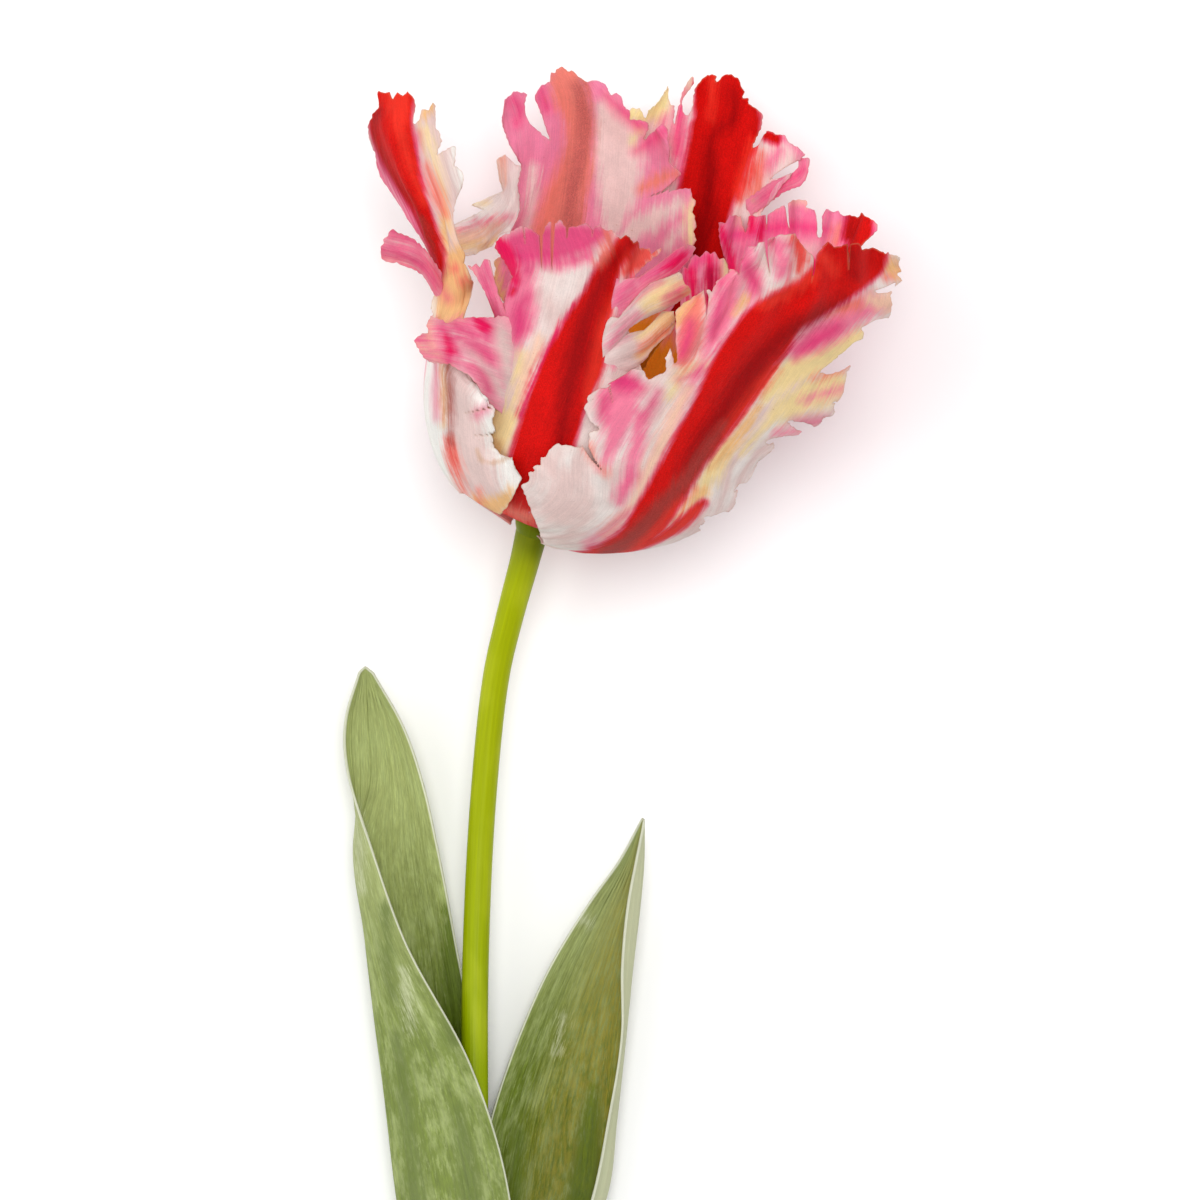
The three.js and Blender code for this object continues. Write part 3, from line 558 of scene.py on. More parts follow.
# ----------------------------------------------------------------- materials
def linear(red, green, blue):
    """A colour given from 0 to 255 as the shader takes it."""
    values = []
    for value in (red, green, blue):
        value /= 255
        values.append(value / 12.92 if value <= 0.04045 else ((value + 0.055) / 1.055) ** 2.4)
    return (*values, 1.0)


PALE = linear(228, 202, 197)
WHITE = linear(252, 243, 238)
CREAM = linear(248, 222, 162)
APRICOT = linear(240, 194, 132)
PEACH = linear(246, 208, 182)
BLUSH = linear(244, 128, 162)
ROSE = linear(228, 56, 124)
HOT = linear(234, 12, 90)
SALMON = linear(242, 130, 114)
SCARLET = linear(224, 16, 12)
GLOW = linear(236, 54, 38)
DEEP = linear(158, 4, 10)
BROWN = linear(172, 62, 56)
DUSK = linear(214, 118, 112)
ORANGE = linear(224, 138, 30)
TAN = linear(206, 162, 122)
LIGHTEST = 0.97                 # no surface gives back more light than this
FLAME = ("scarlet", "deep", "brown", "dusk")    # layers with a coarser grain, never lifted
FLAME_HALO = 1.2                # width of the rose rim round a flame

# Each layer of petal paint: colour, how soft its edge is, how far streaks
# shift the edge (both in mm), and how much it covers.
LAYERS = {
    "cream": (CREAM, 1.8, 1.0, 0.95),
    "apricot": (APRICOT, 1.5, 1.0, 0.95),
    "peach": (PEACH, 1.7, 1.0, 0.95),
    "blush": (BLUSH, 1.9, 1.0, 0.95),
    "rose": (ROSE, 2.4, 0.35, 0.92),
    "hot": (HOT, 1.0, 0.8, 0.95),
    "salmon": (SALMON, 1.7, 0.9, 0.95),
    "scarlet": (SCARLET, 0.8, 0.3, 1.0),
    "glow": (GLOW, 1.6, 0.9, 0.9),
    "deep": (DEEP, 2.4, 0.8, 0.85),
    "brown": (BROWN, 1.5, 0.6, 0.9),
    "dusk": (DUSK, 2.0, 0.8, 0.9),
    "orange": (ORANGE, 5.0, 1.6, 1.0),
    "white": (WHITE, 1.8, 1.2, 0.95),
    "pale": (PALE, 1.8, 1.2, 0.95),
    "tan": (TAN, 0.6, 0.4, 0.6),
}

# How closely each grain runs across, along and through a sheet or a stalk.
PETAL_STREAKS = (0.75, 0.06, 1)
PETAL_HAIRS = (2.2, 0.12, 1)
PETAL_WEAVE = (1, 0.7, 1)
PETAL_LIGHTS = (0.22, 0.09, 1)
PETAL_VEINS = (3.2, 0.09, 1)
LEAF_VEINS = (1.9, 0.02, 1)
LEAF_DASHES = (1.3, 0.22, 1)
LEAF_MOTTLE = (0.3, 0.09, 1)
LEAF_SCRATCHES = (2.4, 0.3, 1)
STEM_FIBRES = (1.6, 0.03, 1)
STEM_PATCHES = (0.12, 0.05, 1)
# How far, in mm, each noise moves the edges of the paint out or in.
STREAK_RUN = 3.4
MOTTLE_RUN = 1.6
HAIR_RUN = 2.2
LEAF_MOTTLE_RUN = 6
SCRATCH_RUN = 9
LEAF_SOFT = 1.6                 # how soft the edges of a leaf's patches are, in mm
BUMP_STRENGTH = 0.6


class Shader:
    """A material built from nodes."""

    def __init__(self, name):
        self.material = bpy.data.materials.new(name)
        self.material.use_nodes = True
        self.tree = self.material.node_tree
        self.bsdf = self.tree.nodes["Principled BSDF"]

    def node(self, kind, values=(), **settings):
        made = self.tree.nodes.new(kind)
        for key, value in settings.items():
            setattr(made, key, value)
        for socket, value in dict(values).items():
            self.feed(made.inputs[socket], value)
        return made

    def feed(self, socket, value):
        if isinstance(value, bpy.types.NodeSocket):
            self.tree.links.new(value, socket)
        else:
            socket.default_value = value

    def carried(self, name, output="Fac"):
        return self.node("ShaderNodeAttribute", attribute_name=name).outputs[output]

    def math(self, operation, a, b):
        return self.node("ShaderNodeMath", {0: a, 1: b}, operation=operation).outputs[0]

    def noise(self, vector, scale, detail, roughness):
        values = {"Vector": vector, "Scale": scale, "Detail": detail, "Roughness": roughness}
        return self.node("ShaderNodeTexNoise", values).outputs[0]

    def grained(self, grain, stretch, detail, roughness, scale=1):
        """Noise drawn out along the veins."""
        drawn = self.node("ShaderNodeVectorMath", {0: grain, 1: stretch}, operation="MULTIPLY").outputs[0]
        return self.noise(drawn, scale, detail, roughness)

    def centred(self, value):
        """Noise moved to lie round 0."""
        return self.math("SUBTRACT", value, 0.5)

    def ramp(self, value, low, high, start=0.0, end=1.0):
        values = {"Value": value, "From Min": low, "From Max": high, "To Min": start, "To Max": end}
        return self.node("ShaderNodeMapRange", values, interpolation_type="SMOOTHSTEP").outputs[0]

    def tone(self, value, low, high):
        """A grey from low to high."""
        values = {"Value": value, "From Min": 0.3, "From Max": 0.7, "To Min": low, "To Max": high}
        return self.node("ShaderNodeMapRange", values).outputs[0]

    def mix(self, share, a, b, blend="MIX"):
        made = self.node("ShaderNodeMix", data_type="RGBA", blend_type=blend)
        for socket, value in ((made.inputs[0], share), (made.inputs[6], a), (made.inputs[7], b)):
            self.feed(socket, value)
        return made.outputs[2]

    def shaded(self, colour, value, low, high):
        """The colour made darker and lighter by a value's tones."""
        return self.mix(1.0, colour, self.tone(value, low, high), "MULTIPLY")

    def surface(self, colour, roughness, shine=0.5):
        self.feed(self.bsdf.inputs["Base Color"], colour)
        self.bsdf.inputs["Roughness"].default_value = roughness
        self.bsdf.inputs["Specular IOR Level"].default_value = shine

    def bump(self, height, distance):
        values = {"Height": height, "Strength": BUMP_STRENGTH, "Distance": distance}
        self.feed(self.bsdf.inputs["Normal"], self.node("ShaderNodeBump", values).outputs[0])

    def thin(self, colour, share):
        """Lets light through the sheet."""
        through = self.node("ShaderNodeBsdfTranslucent", {"Color": colour})
        both = self.node("ShaderNodeMixShader", {0: share, 1: self.bsdf.outputs[0], 2: through.outputs[0]})
        self.feed(self.tree.nodes["Material Output"].inputs["Surface"], both.outputs[0])


def lifted(colour, lift):
    """A colour made lighter, or darker with a lift under 1. On the petals a lift above 1 is painted light
    that makes up for the shade falling on them in the bloom.
    """
    return (*(min(value * lift, LIGHTEST) for value in colour[:3]), 1.0)


def petal_material(name, layers, lift):
    """Petal paint: the named layers over a pale ground, run along the veins like watercolour."""
    shader = Shader(name)
    grain = shader.carried("grain", "Vector")
    streaks = shader.centred(shader.grained(grain, PETAL_STREAKS, detail=2, roughness=0.55))
    mottle = shader.centred(shader.noise(grain, scale=0.4, detail=3, roughness=0.6))
    hairs = shader.centred(shader.grained(grain, PETAL_HAIRS, detail=2, roughness=0.6))
    shift = shader.math("MULTIPLY", streaks, STREAK_RUN)
    shift = shader.math("ADD", shift, shader.math("MULTIPLY", mottle, MOTTLE_RUN))
    shift = shader.math("ADD", shift, shader.math("MULTIPLY", hairs, HAIR_RUN))
    weave = shader.grained(grain, PETAL_WEAVE, detail=2, roughness=0.7, scale=4.5)
    lights = shader.grained(grain, PETAL_LIGHTS, detail=2, roughness=0.5)
    # Every colour but the flame's is lifted by the petal's lift: painted light against the shade on the
    # petal.
    colour = shader.mix(shader.ramp(lights, 0.3, 0.75, end=0.7), lifted(PALE, lift), lifted(WHITE, lift))
    for layer in layers:
        tint, soft, run, cover = LAYERS[layer]
        depth = shader.math("ADD", shader.carried(layer), shader.math("MULTIPLY", shift, run))
        if layer == "orange":
            # Orange lies only on the side that faces the inside of the cup.
            facing = shader.math("MULTIPLY", shader.carried("inside"), PAINT_REACH)
            depth = shader.math("MINIMUM", depth, facing)
        if layer in FLAME:
            tint = shader.shaded(tint, weave, 0.82, 1.14)
        else:
            tint = lifted(tint, lift)
        if layer == "scarlet":
            halo = shader.ramp(depth, -FLAME_HALO, 0.2, end=0.75)
            colour = shader.mix(halo, colour, lifted(ROSE, lift))
        colour = shader.mix(shader.ramp(depth, -soft, soft, end=cover), colour, tint)
    veins = shader.grained(grain, PETAL_VEINS, detail=3, roughness=0.65)
    colour = shader.shaded(colour, veins, 0.92, 1.05)
    blotch = shader.noise(grain, scale=0.22, detail=3, roughness=0.6)
    colour = shader.shaded(colour, blotch, 0.93, 1.06)
    colour = shader.shaded(colour, weave, 0.94, 1.05)
    specks = shader.noise(grain, scale=1.6, detail=1, roughness=0.5)
    colour = shader.mix(shader.ramp(specks, 0.27, 0.2, end=0.35), colour, TAN, "MULTIPLY")
    edge = shader.ramp(shader.carried("margin"), 0.3, 0.0, end=0.22)
    colour = shader.mix(edge, colour, TAN)
    shader.surface(colour, roughness=0.6, shine=0.1)
    crepe = shader.noise(grain, scale=3.0, detail=2, roughness=0.6)
    height = shader.math("ADD", veins, shader.math("MULTIPLY", crepe, 0.6))
    shader.bump(height, distance=0.0002)
    shader.thin(colour, share=0.25)
    return shader.material


LEAF_GREEN = linear(168, 178, 110)
LEAF_DEEP = linear(104, 124, 18)
LEAF_PALE = linear(184, 198, 128)
LEAF_OLIVE = linear(138, 126, 40)
LEAF_PAINTED_SHADE = linear(84, 104, 8)
LEAF_BACK = linear(206, 210, 176)
LEAF_EDGE = linear(236, 238, 216)
STEM_GREEN = linear(154, 166, 0)
STEM_DEEP = linear(124, 150, 0)
STEM_PALE = linear(190, 198, 50)
STEM_PAINTED_SHADE = linear(92, 106, 0)


def leaf_material(name, olive, paleness, lift):
    """Leaf green with parallel veins, bluish mottling, a pale back and a white margin, with painted shade and
    pale marks laid on from its strokes.
    """
    shader = Shader(name)
    grain = shader.carried("grain", "Vector")
    along = shader.carried("along_share")
    veins = shader.grained(grain, LEAF_VEINS, detail=4, roughness=0.7)
    dashes = shader.grained(grain, LEAF_DASHES, detail=4, roughness=0.7)
    mottle = shader.grained(grain, LEAF_MOTTLE, detail=5, roughness=0.65)
    scratches = shader.grained(grain, LEAF_SCRATCHES, detail=3, roughness=0.7)
    green, deep, pale = (lifted(colour, lift) for colour in (LEAF_GREEN, LEAF_DEEP, LEAF_PALE))
    colour = shader.mix(shader.ramp(along, 0.9, 0.54, end=0.95), green, deep)
    colour = shader.mix(shader.ramp(mottle, 0.42, 0.66, end=0.55), colour, pale)
    colour = shader.mix(shader.ramp(dashes, 0.5, 0.68, end=0.45), colour, pale)
    browner = shader.math("MULTIPLY", shader.ramp(shader.carried("across"), -0.7, 0.4), olive)
    browner = shader.math("MULTIPLY", browner, shader.ramp(scratches, 0.36, 0.6, start=0.25))
    colour = shader.mix(browner, colour, LEAF_OLIVE)
    shift = shader.math("MULTIPLY", shader.centred(mottle), LEAF_MOTTLE_RUN)
    shift = shader.math("ADD", shift, shader.math("MULTIPLY", shader.centred(scratches), SCRATCH_RUN))
    # The shade strokes are painted shade; the pale strokes are pale marks, and along the left leaf's fold a
    # painted highlight.
    for layer, tint, cover in (("shade", LEAF_PAINTED_SHADE, 0.8), ("pale", LEAF_BACK, 0.5)):
        depth = shader.math("ADD", shader.carried(layer), shift)
        colour = shader.mix(shader.ramp(depth, -LEAF_SOFT, LEAF_SOFT, end=cover), colour, tint)
    colour = shader.shaded(colour, veins, 0.8, 1.16)
    colour = shader.shaded(colour, scratches, 0.78, 1.18)
    colour = shader.mix(shader.ramp(shader.carried("back"), -0.5, 0.5, end=paleness), colour, LEAF_BACK)
    colour = shader.mix(shader.ramp(shader.carried("margin"), 0.5, 0.2, end=0.8), colour, LEAF_EDGE)
    shader.surface(colour, roughness=0.5, shine=0.15)
    shader.bump(veins, distance=0.0005)
    shader.thin(colour, share=0.12)
    return shader.material


def stem_material():
    """A smooth glossy stalk, yellower towards the bloom with painted shade just under it, and paler at its
    cut end.
    """
    shader = Shader("stem")
    grain = shader.carried("grain", "Vector")
    fibres = shader.grained(grain, STEM_FIBRES, detail=3, roughness=0.6)
    patches = shader.grained(grain, STEM_PATCHES, detail=2, roughness=0.5)
    colour = shader.mix(shader.ramp(shader.carried("along_share"), 0.7, 0.2), STEM_GREEN, STEM_DEEP)
    # The top of the stalk under the bloom: painted shade.
    colour = shader.mix(shader.ramp(shader.carried("along_share"), 0.84, 0.97, end=0.9), colour, STEM_PAINTED_SHADE)
    colour = shader.mix(shader.ramp(patches, 0.45, 0.75, end=0.35), colour, STEM_PALE)
    colour = shader.shaded(colour, fibres, 0.9, 1.07)
    colour = shader.mix(shader.carried("cut"), colour, STEM_PALE)
    shader.surface(colour, roughness=0.38, shine=0.09)
    shader.bump(fibres, distance=0.0002)
    return shader.material


def organ_material(name, low, high, split, roughness):
    """One colour below a share of the length and another above it, finely flecked."""
    shader = Shader(name)
    grain = shader.carried("grain", "Vector")
    flecks = shader.noise(grain, scale=2.6, detail=3, roughness=0.6)
    colour = shader.mix(shader.ramp(shader.carried("along_share"), split - 0.03, split + 0.03), low, high)
    colour = shader.shaded(colour, flecks, 0.75, 1.2)
    shader.surface(colour, roughness)
    shader.bump(flecks, distance=0.0004)
    return shader.material


# ------------------------------------------------------------ stem and organs
def circle(angle):
    return 1.0


def three_sided(angle):
    return 1 + 0.12 * math.cos(3 * angle)


def two_lobed(angle):
    return 1 - 0.14 * math.cos(2 * angle) ** 8


def tube(path, radii, sides, rings, outline=circle, cut_share=0.0):
    """A round body along a path; outline(angle) scales its radius round the path."""
    path = np.array(path, float)
    chords = np.sqrt(np.linalg.norm(np.diff(path, axis=0), axis=1))
    knots = running_length(chords) / chords.sum()
    even = np.linspace(0, 1, len(path))
    t = np.linspace(0, 1, rings + 1)
    centres = hermite(knots, path, np.interp(t, even, knots))
    tangents = np.gradient(centres, axis=0)
    tangents /= np.linalg.norm(tangents, axis=1, keepdims=True)
    side = np.cross(tangents, [0, 0, 1])
    side /= np.linalg.norm(side, axis=1, keepdims=True)
    up = np.cross(side, tangents)
    radius = hermite(np.linspace(0, 1, len(radii)), np.array(radii, float), t)[:, None]
    angles = 2 * math.pi * np.arange(sides) / sides
    reach = radius * np.vectorize(outline)(angles)
    points = centres[:, None] + side[:, None] * (reach * np.cos(angles))[..., None]
    points += up[:, None] * (reach * np.sin(angles))[..., None]
    lengths = running_length(np.linalg.norm(np.diff(centres, axis=0), axis=1))
    first = (rings + 1) * sides             # the first end's centre comes after all the rings
    grain = [np.tile(angles * radius.mean(), rings + 1), np.repeat(lengths, sides), np.zeros(first)]
    ends = [[0, 0, END_GRAIN], [0, lengths[-1], END_GRAIN]]
    carried = {
        "along_share": np.concatenate([np.repeat(t, sides), [0, 1]]),
        "grain": np.concatenate([np.stack(grain, axis=1), ends]),
        "cut": np.concatenate([np.zeros(first), [cut_share, 0]]),
    }
    points = np.concatenate([points.reshape(-1, 3), centres[[0, -1]]])
    points[:, 2] = np.maximum(points[:, 2], 0)
    ring = np.arange(sides)
    after = (ring + 1) % sides
    a = (np.arange(rings)[:, None] * sides + ring).ravel()
    b = (np.arange(rings)[:, None] * sides + after).ravel()
    triangles = np.concatenate([
        np.stack([a, b, b + sides], axis=1),
        np.stack([a, b + sides, a + sides], axis=1),
        np.stack([np.full(sides, first), after, ring], axis=1),
        np.stack([np.full(sides, first + 1), rings * sides + ring, rings * sides + after], axis=1),
    ])
    return points, triangles[:, ::-1], carried


STEM_PATH = [
    (-8.5, -265, 3.1), (-10.5, -228, 6.9), (-12, -190, 9.4), (-12.7, -149, 11), (-12.9, -127, 11.3),
    (-12.7, -95, 11.6), (-11.1, -61, 12.8), (-8.2, -33, 15.8), (-5.3, -20, 19.2), (-1.8, -7, 23.6),
]
STEM_RADII = [3.2, 3.2, 3.1, 3.05, 3, 2.95, 2.9, 2.95, 3.05, 3.3, 3.6]


def stem():
    """The stalk from its cut end to the bloom, and the cushion that the petals grow from."""
    path = STEM_PATH + [tuple(bloom_points((-0.6, 0, 0)))]
    stalk = tube(path, STEM_RADII, STEM_SIDES, STEM_RINGS, cut_share=1.0)
    cushion_path = bloom_points([(height, 0, 0) for height in (-1.6, 0.6, 2.4, RECEPTACLE_TOP)])
    cushion_radii = [3.2, RECEPTACLE_RADIUS - 0.4, RECEPTACLE_RADIUS, RECEPTACLE_RADIUS - 0.3]
    cushion = tube(cushion_path, cushion_radii, STEM_SIDES, CUSHION_RINGS)
    # The cushion takes the painted shade of the stalk's top all over.
    cushion[2]["along_share"][:] = 1
    piece("stalk", "stem", [stalk, cushion], stem_material())


def pistil():
    """The ovary with its three-lobed stigma."""
    path = bloom_points([(ORGAN_START + height, 0, 0) for height in (0, 8, 17, 21, 24)])
    body = tube(path, [2.2, 2.6, 2.3, 3.4, 1.2], STEM_SIDES, ORGAN_RINGS, three_sided)
    material = organ_material("pistil", linear(176, 186, 84), linear(226, 214, 140), 0.72, 0.45)
    piece("ovary", "pistil", [body], material)


def stamens():
    """Pale filaments with dark anthers, in a ring round the pistil."""
    material = organ_material("stamen", linear(214, 200, 130), linear(60, 34, 52), 0.5, 0.8)
    places = [(0, STAMEN_RING), (8, 5.4), (13, 7), (22, 8.4)]
    radii = [0.55, 0.6, 0.6, 0.7, 1.5, 1.6, 1.3, 0.5]
    for i in range(STAMEN_COUNT):
        angle = FIRST_STAMEN + 360 // STAMEN_COUNT * i
        path = bloom_points([(ORGAN_START + height, radius, angle) for height, radius in places])
        body = tube(path, radii, STAMEN_SIDES, ORGAN_RINGS, two_lobed)
        piece(f"anther_{i + 1}", f"stamen_{i + 1}", [body], material)


# -------------------------------------------------------------------- leaves
def clasp(centre, radius, angles):
    """Points round the stem, for a leaf's clasping base."""
    x, y, z = centre
    turns = [math.radians(angle) for angle in angles]
    return [(x + radius * math.cos(turn), y, z + radius * math.sin(turn)) for turn in turns]


def leaf(name, node, rows, back_side, strokes, **tones):
    """A leaf with ribs along it; back_side is 1 or -1, whichever side of the sheet is its back."""
    sheet = Sheet(rows, LEAF_CELLS, in_bloom=False, teeth=0.0, seed=31)
    sheet.across = sheet.u * VEIN_SPREAD
    swelling = soft_noise(sheet.across / 3 + 9, sheet.along / 30, seed=5)
    ribs = RIB_HEIGHT * np.sin(sheet.across / RIB_PITCH) + SWELLING * swelling
    ribs = ribs * np.clip(sheet.margin / RIB_FADE, 0, 1)
    sheet.points = sheet.points + sheet.normals() * ribs[..., None]
    sheet.layers["along_share"] = sheet.v
    sheet.paint(*strokes)
    points, triangles, carried = sheet.skin(LEAF_THICKNESS, thin_edge=0.6)
    carried["back"] = carried.pop("side") * back_side
    piece(name, node, [(points, triangles, carried)], leaf_material(name, **tones))


def left_leaf():
    """Columns run from the margin behind the stem round the fold to the margin in front of it."""
    leaf("left_blade", "leaf_left", [
        clasp((-10.5, -228, 6.9), 3.6, (-60, -120, 180, 120, 60)),
        clasp((-11.4, -206, 8.4), 5.9, (-50, -115, 180, 115, 50)),
        [(-11, -177, 2.4), (-17.5, -177, 0.9), (-24.5, -177, 9), (-15, -177, 16.2), (-4.4, -177, 16.6)],
        [(-12, -149, 2.4), (-21, -149, 0.2), (-30, -149, 9), (-18.5, -149, 16), (-4.9, -149, 17.6)],
        [(-12.4, -119, 3.4), (-24, -119, 0.6), (-33.4, -119, 8.6), (-25, -119, 15.4), (-13.6, -119, 18)],
        [(-17, -92, 6.4), (-27, -92, 3.6), (-36.8, -90, 8.2), (-34.5, -90, 14), (-28.4, -91, 16.4)],
        [(-21, -71, 8.6), (-29.5, -71, 5), (-38.9, -69, 7.4), (-38.4, -70, 11.4), (-35.6, -71, 13.6)],
        [(-24.4, -56, 10.4), (-30, -56, 7.4), (-35.6, -55, 6.8), (-39.4, -54.5, 8.6), (-41.1, -54, 11)],
        [(-29, -43, 12.2), (-32.6, -42, 10.4), (-36.4, -41.5, 9.8), (-39.6, -41.5, 10.6), (-41.6, -42, 12.2)],
        [(-35.4, -31.8, 14), (-36.4, -31, 13.6), (-37.2, -30.4, 13.4), (-37.9, -31, 13.6),
         (-38.6, -31.8, 14)],
    ], back_side=1, strokes=[
        # Painted shade, darkest towards the stem.
        ("shade", (-19, -84, 0.6), (-18, -92, 1.8), (-17, -100, 3), (-16.6, -112, 3)),
        ("shade", (-32.6, -84, 0.8), (-32, -94, 1), (-31, -104, 0.6)),
        ("shade", (-30, -112, 0.8), (-28.4, -124, 1.6), (-27, -136, 1.4), (-25.6, -150, 2)),
        ("shade", (-16.6, -128, 1), (-15, -138, 1.6), (-13.6, -150, 2)),
        # A painted highlight along the fold's edge, and a pale mark.
        ("pale", (-40.2, -60, 0.8), (-38.8, -70, 1.2), (-38, -80, 0.6)),
        ("pale", (-28.6, -98, 0.5), (-27.6, -106, 0.8), (-26.6, -112, 0.4)),
    ], olive=0.0, paleness=0.1, lift=1.0)


def right_leaf():
    """Columns run from the margin by the stem to the right margin, which curls up."""
    leaf("right_blade", "leaf_right", [
        clasp((-11.5, -205, 8.5), 3.6, (150, -150, -90, -40, 20)),
        clasp((-11.9, -192, 9.3), 4.4, (-175, -130, -80, -35, 15)),
        [(-16, -175, 7.8), (-11.4, -175, 5.2), (-6, -175, 4.6), (-1.2, -175, 6), (2.4, -175, 9.6)],
        [(-13, -149, 7), (-7, -149, 5), (1, -149, 4), (15.2, -149, 6), (13, -149, 10.4)],
        [(-9.4, -131, 6.8), (-3.4, -131, 5), (4, -131, 4.2), (17.6, -131, 6.6), (16.8, -131, 11.4)],
        [(-3, -112, 7.4), (3, -112, 5.4), (9, -112, 5), (19.6, -112, 7.2), (19.8, -112, 12)],
        [(4, -96.5, 8.6), (9, -96.5, 7), (14.4, -96.5, 6.8), (21.7, -96.5, 8.8), (19.8, -96.5, 12.8)],
        [(13, -82, 10.4), (16.2, -82, 9.2), (19.6, -82, 9.2), (23.5, -82, 10.6), (21.2, -82, 13.2)],
        [(19, -73.6, 12), (20.6, -73.6, 11.2), (22.4, -73.6, 11.2), (24.3, -73.6, 12), (22.8, -73.6, 13.6)],
        [(24, -64.4, 14), (24.2, -64.2, 14), (24.4, -64, 14), (24.6, -64.2, 14), (24.7, -64.4, 14.1)],
    ], back_side=-1, strokes=[
        # Painted shade low on the blade, and pale marks.
        ("shade", (13.6, -124, 0.6), (13, -132, 2), (12, -141, 3), (10, -152, 3.2), (8, -166, 3)),
        ("shade", (-3, -134, 0.8), (-4, -146, 1.2), (-5, -160, 1.2)),
        ("pale", (10.4, -86.2, 0.7), (11.8, -87, 0.8)),
        ("pale", (6.6, -108, 0.3), (5.4, -116, 0.5)),
    ], olive=0.8, paleness=0.8, lift=0.85)


# -------------------------------------------------------------------- petals
def petal(name, node, skins, layers, lift=1.0):
    """A petal from its skins; layers names its paint from the lowest to the topmost, and a lift above 1
    lightens its colours as painted light against the shade inside the bloom.
    """
    piece(name, node, skins, petal_material(node, layers.split(), lift))


def front_blade():
    """The front petal's blade, with its toothed top edge and its slits."""
    blade = Sheet([
        inner(3.2, -50, -10, 30),
        inner(8.4, -60, -10, 40),
        inner(16, -66, -8, 44),
        inner(28, -64, -6, 42),
        inner(40, -54, -5, 36),
        above((-7.5, 48, 26), (11, 41, 35.4), (23, 37.5, 32)),
        above((-5.5, 55, 25), (13, 49.5, 35), (20.5, 46.5, 33.4)),
        above((-6.8, 58.5, 24), (14.5, 58, 34.6), (22, 55, 33)),
        above((-8.5, 62.5, 23), (11, 68.5, 33.5), (27.5, 61, 31)),
    ], BLADE_CELLS, waves=[("top", 0.8, 4)], reach=(1.04, 1.03), seed=11)
    blade.ruffle(0.5, 3.0, 7)
    blade.trim([
        (-30, -10), (-30, 44), (-9, 46.5), (-6.4, 50), (-5.4, 54), (-4.4, 55.6), (-6.2, 58.8), (-8.4, 62),
        (-8, 63.6), (-6.6, 65), (-5, 65.2), (-4.7, 66.8), (-3.9, 67.9), (-2.4, 66.9), (0, 66.2),
        (1.3, 65), (2.4, 65), (2.7, 66.6), (4, 68), (5, 67.4), (6.2, 68.3), (7.4, 66.6), (8.8, 66.6),
        (10.2, 66.9), (12, 67.5), (13, 66.3), (14.8, 67.1), (16, 65.8), (17.8, 65.9), (19.4, 63.9),
        (20.6, 64.8), (21.6, 64.2), (22.3, 63), (23.2, 64), (23.8, 62), (26, 61.8), (26.2, 60.6),
        (27.2, 61.4), (28.7, 62.3), (28.4, 60.8), (28.6, 59.6), (30, 50), (40, 40), (60, 0), (40, -40),
        (-30, -40),
    ], where=blade.v > 0.55)
    blade.slit(0.9, (1.9, 66.5), (2, 62), (2.1, 56.6))
    blade.slit(0.9, (4.6, 68), (4.4, 62), (4.3, 55.8))
    blade.slit(0.7, (7.8, 68), (7.6, 63.5))
    blade.slit(0.6, (-2, 68), (-1.5, 62.5))
    blade.slit(0.6, (13.5, 67.5), (13.2, 64))
    return blade


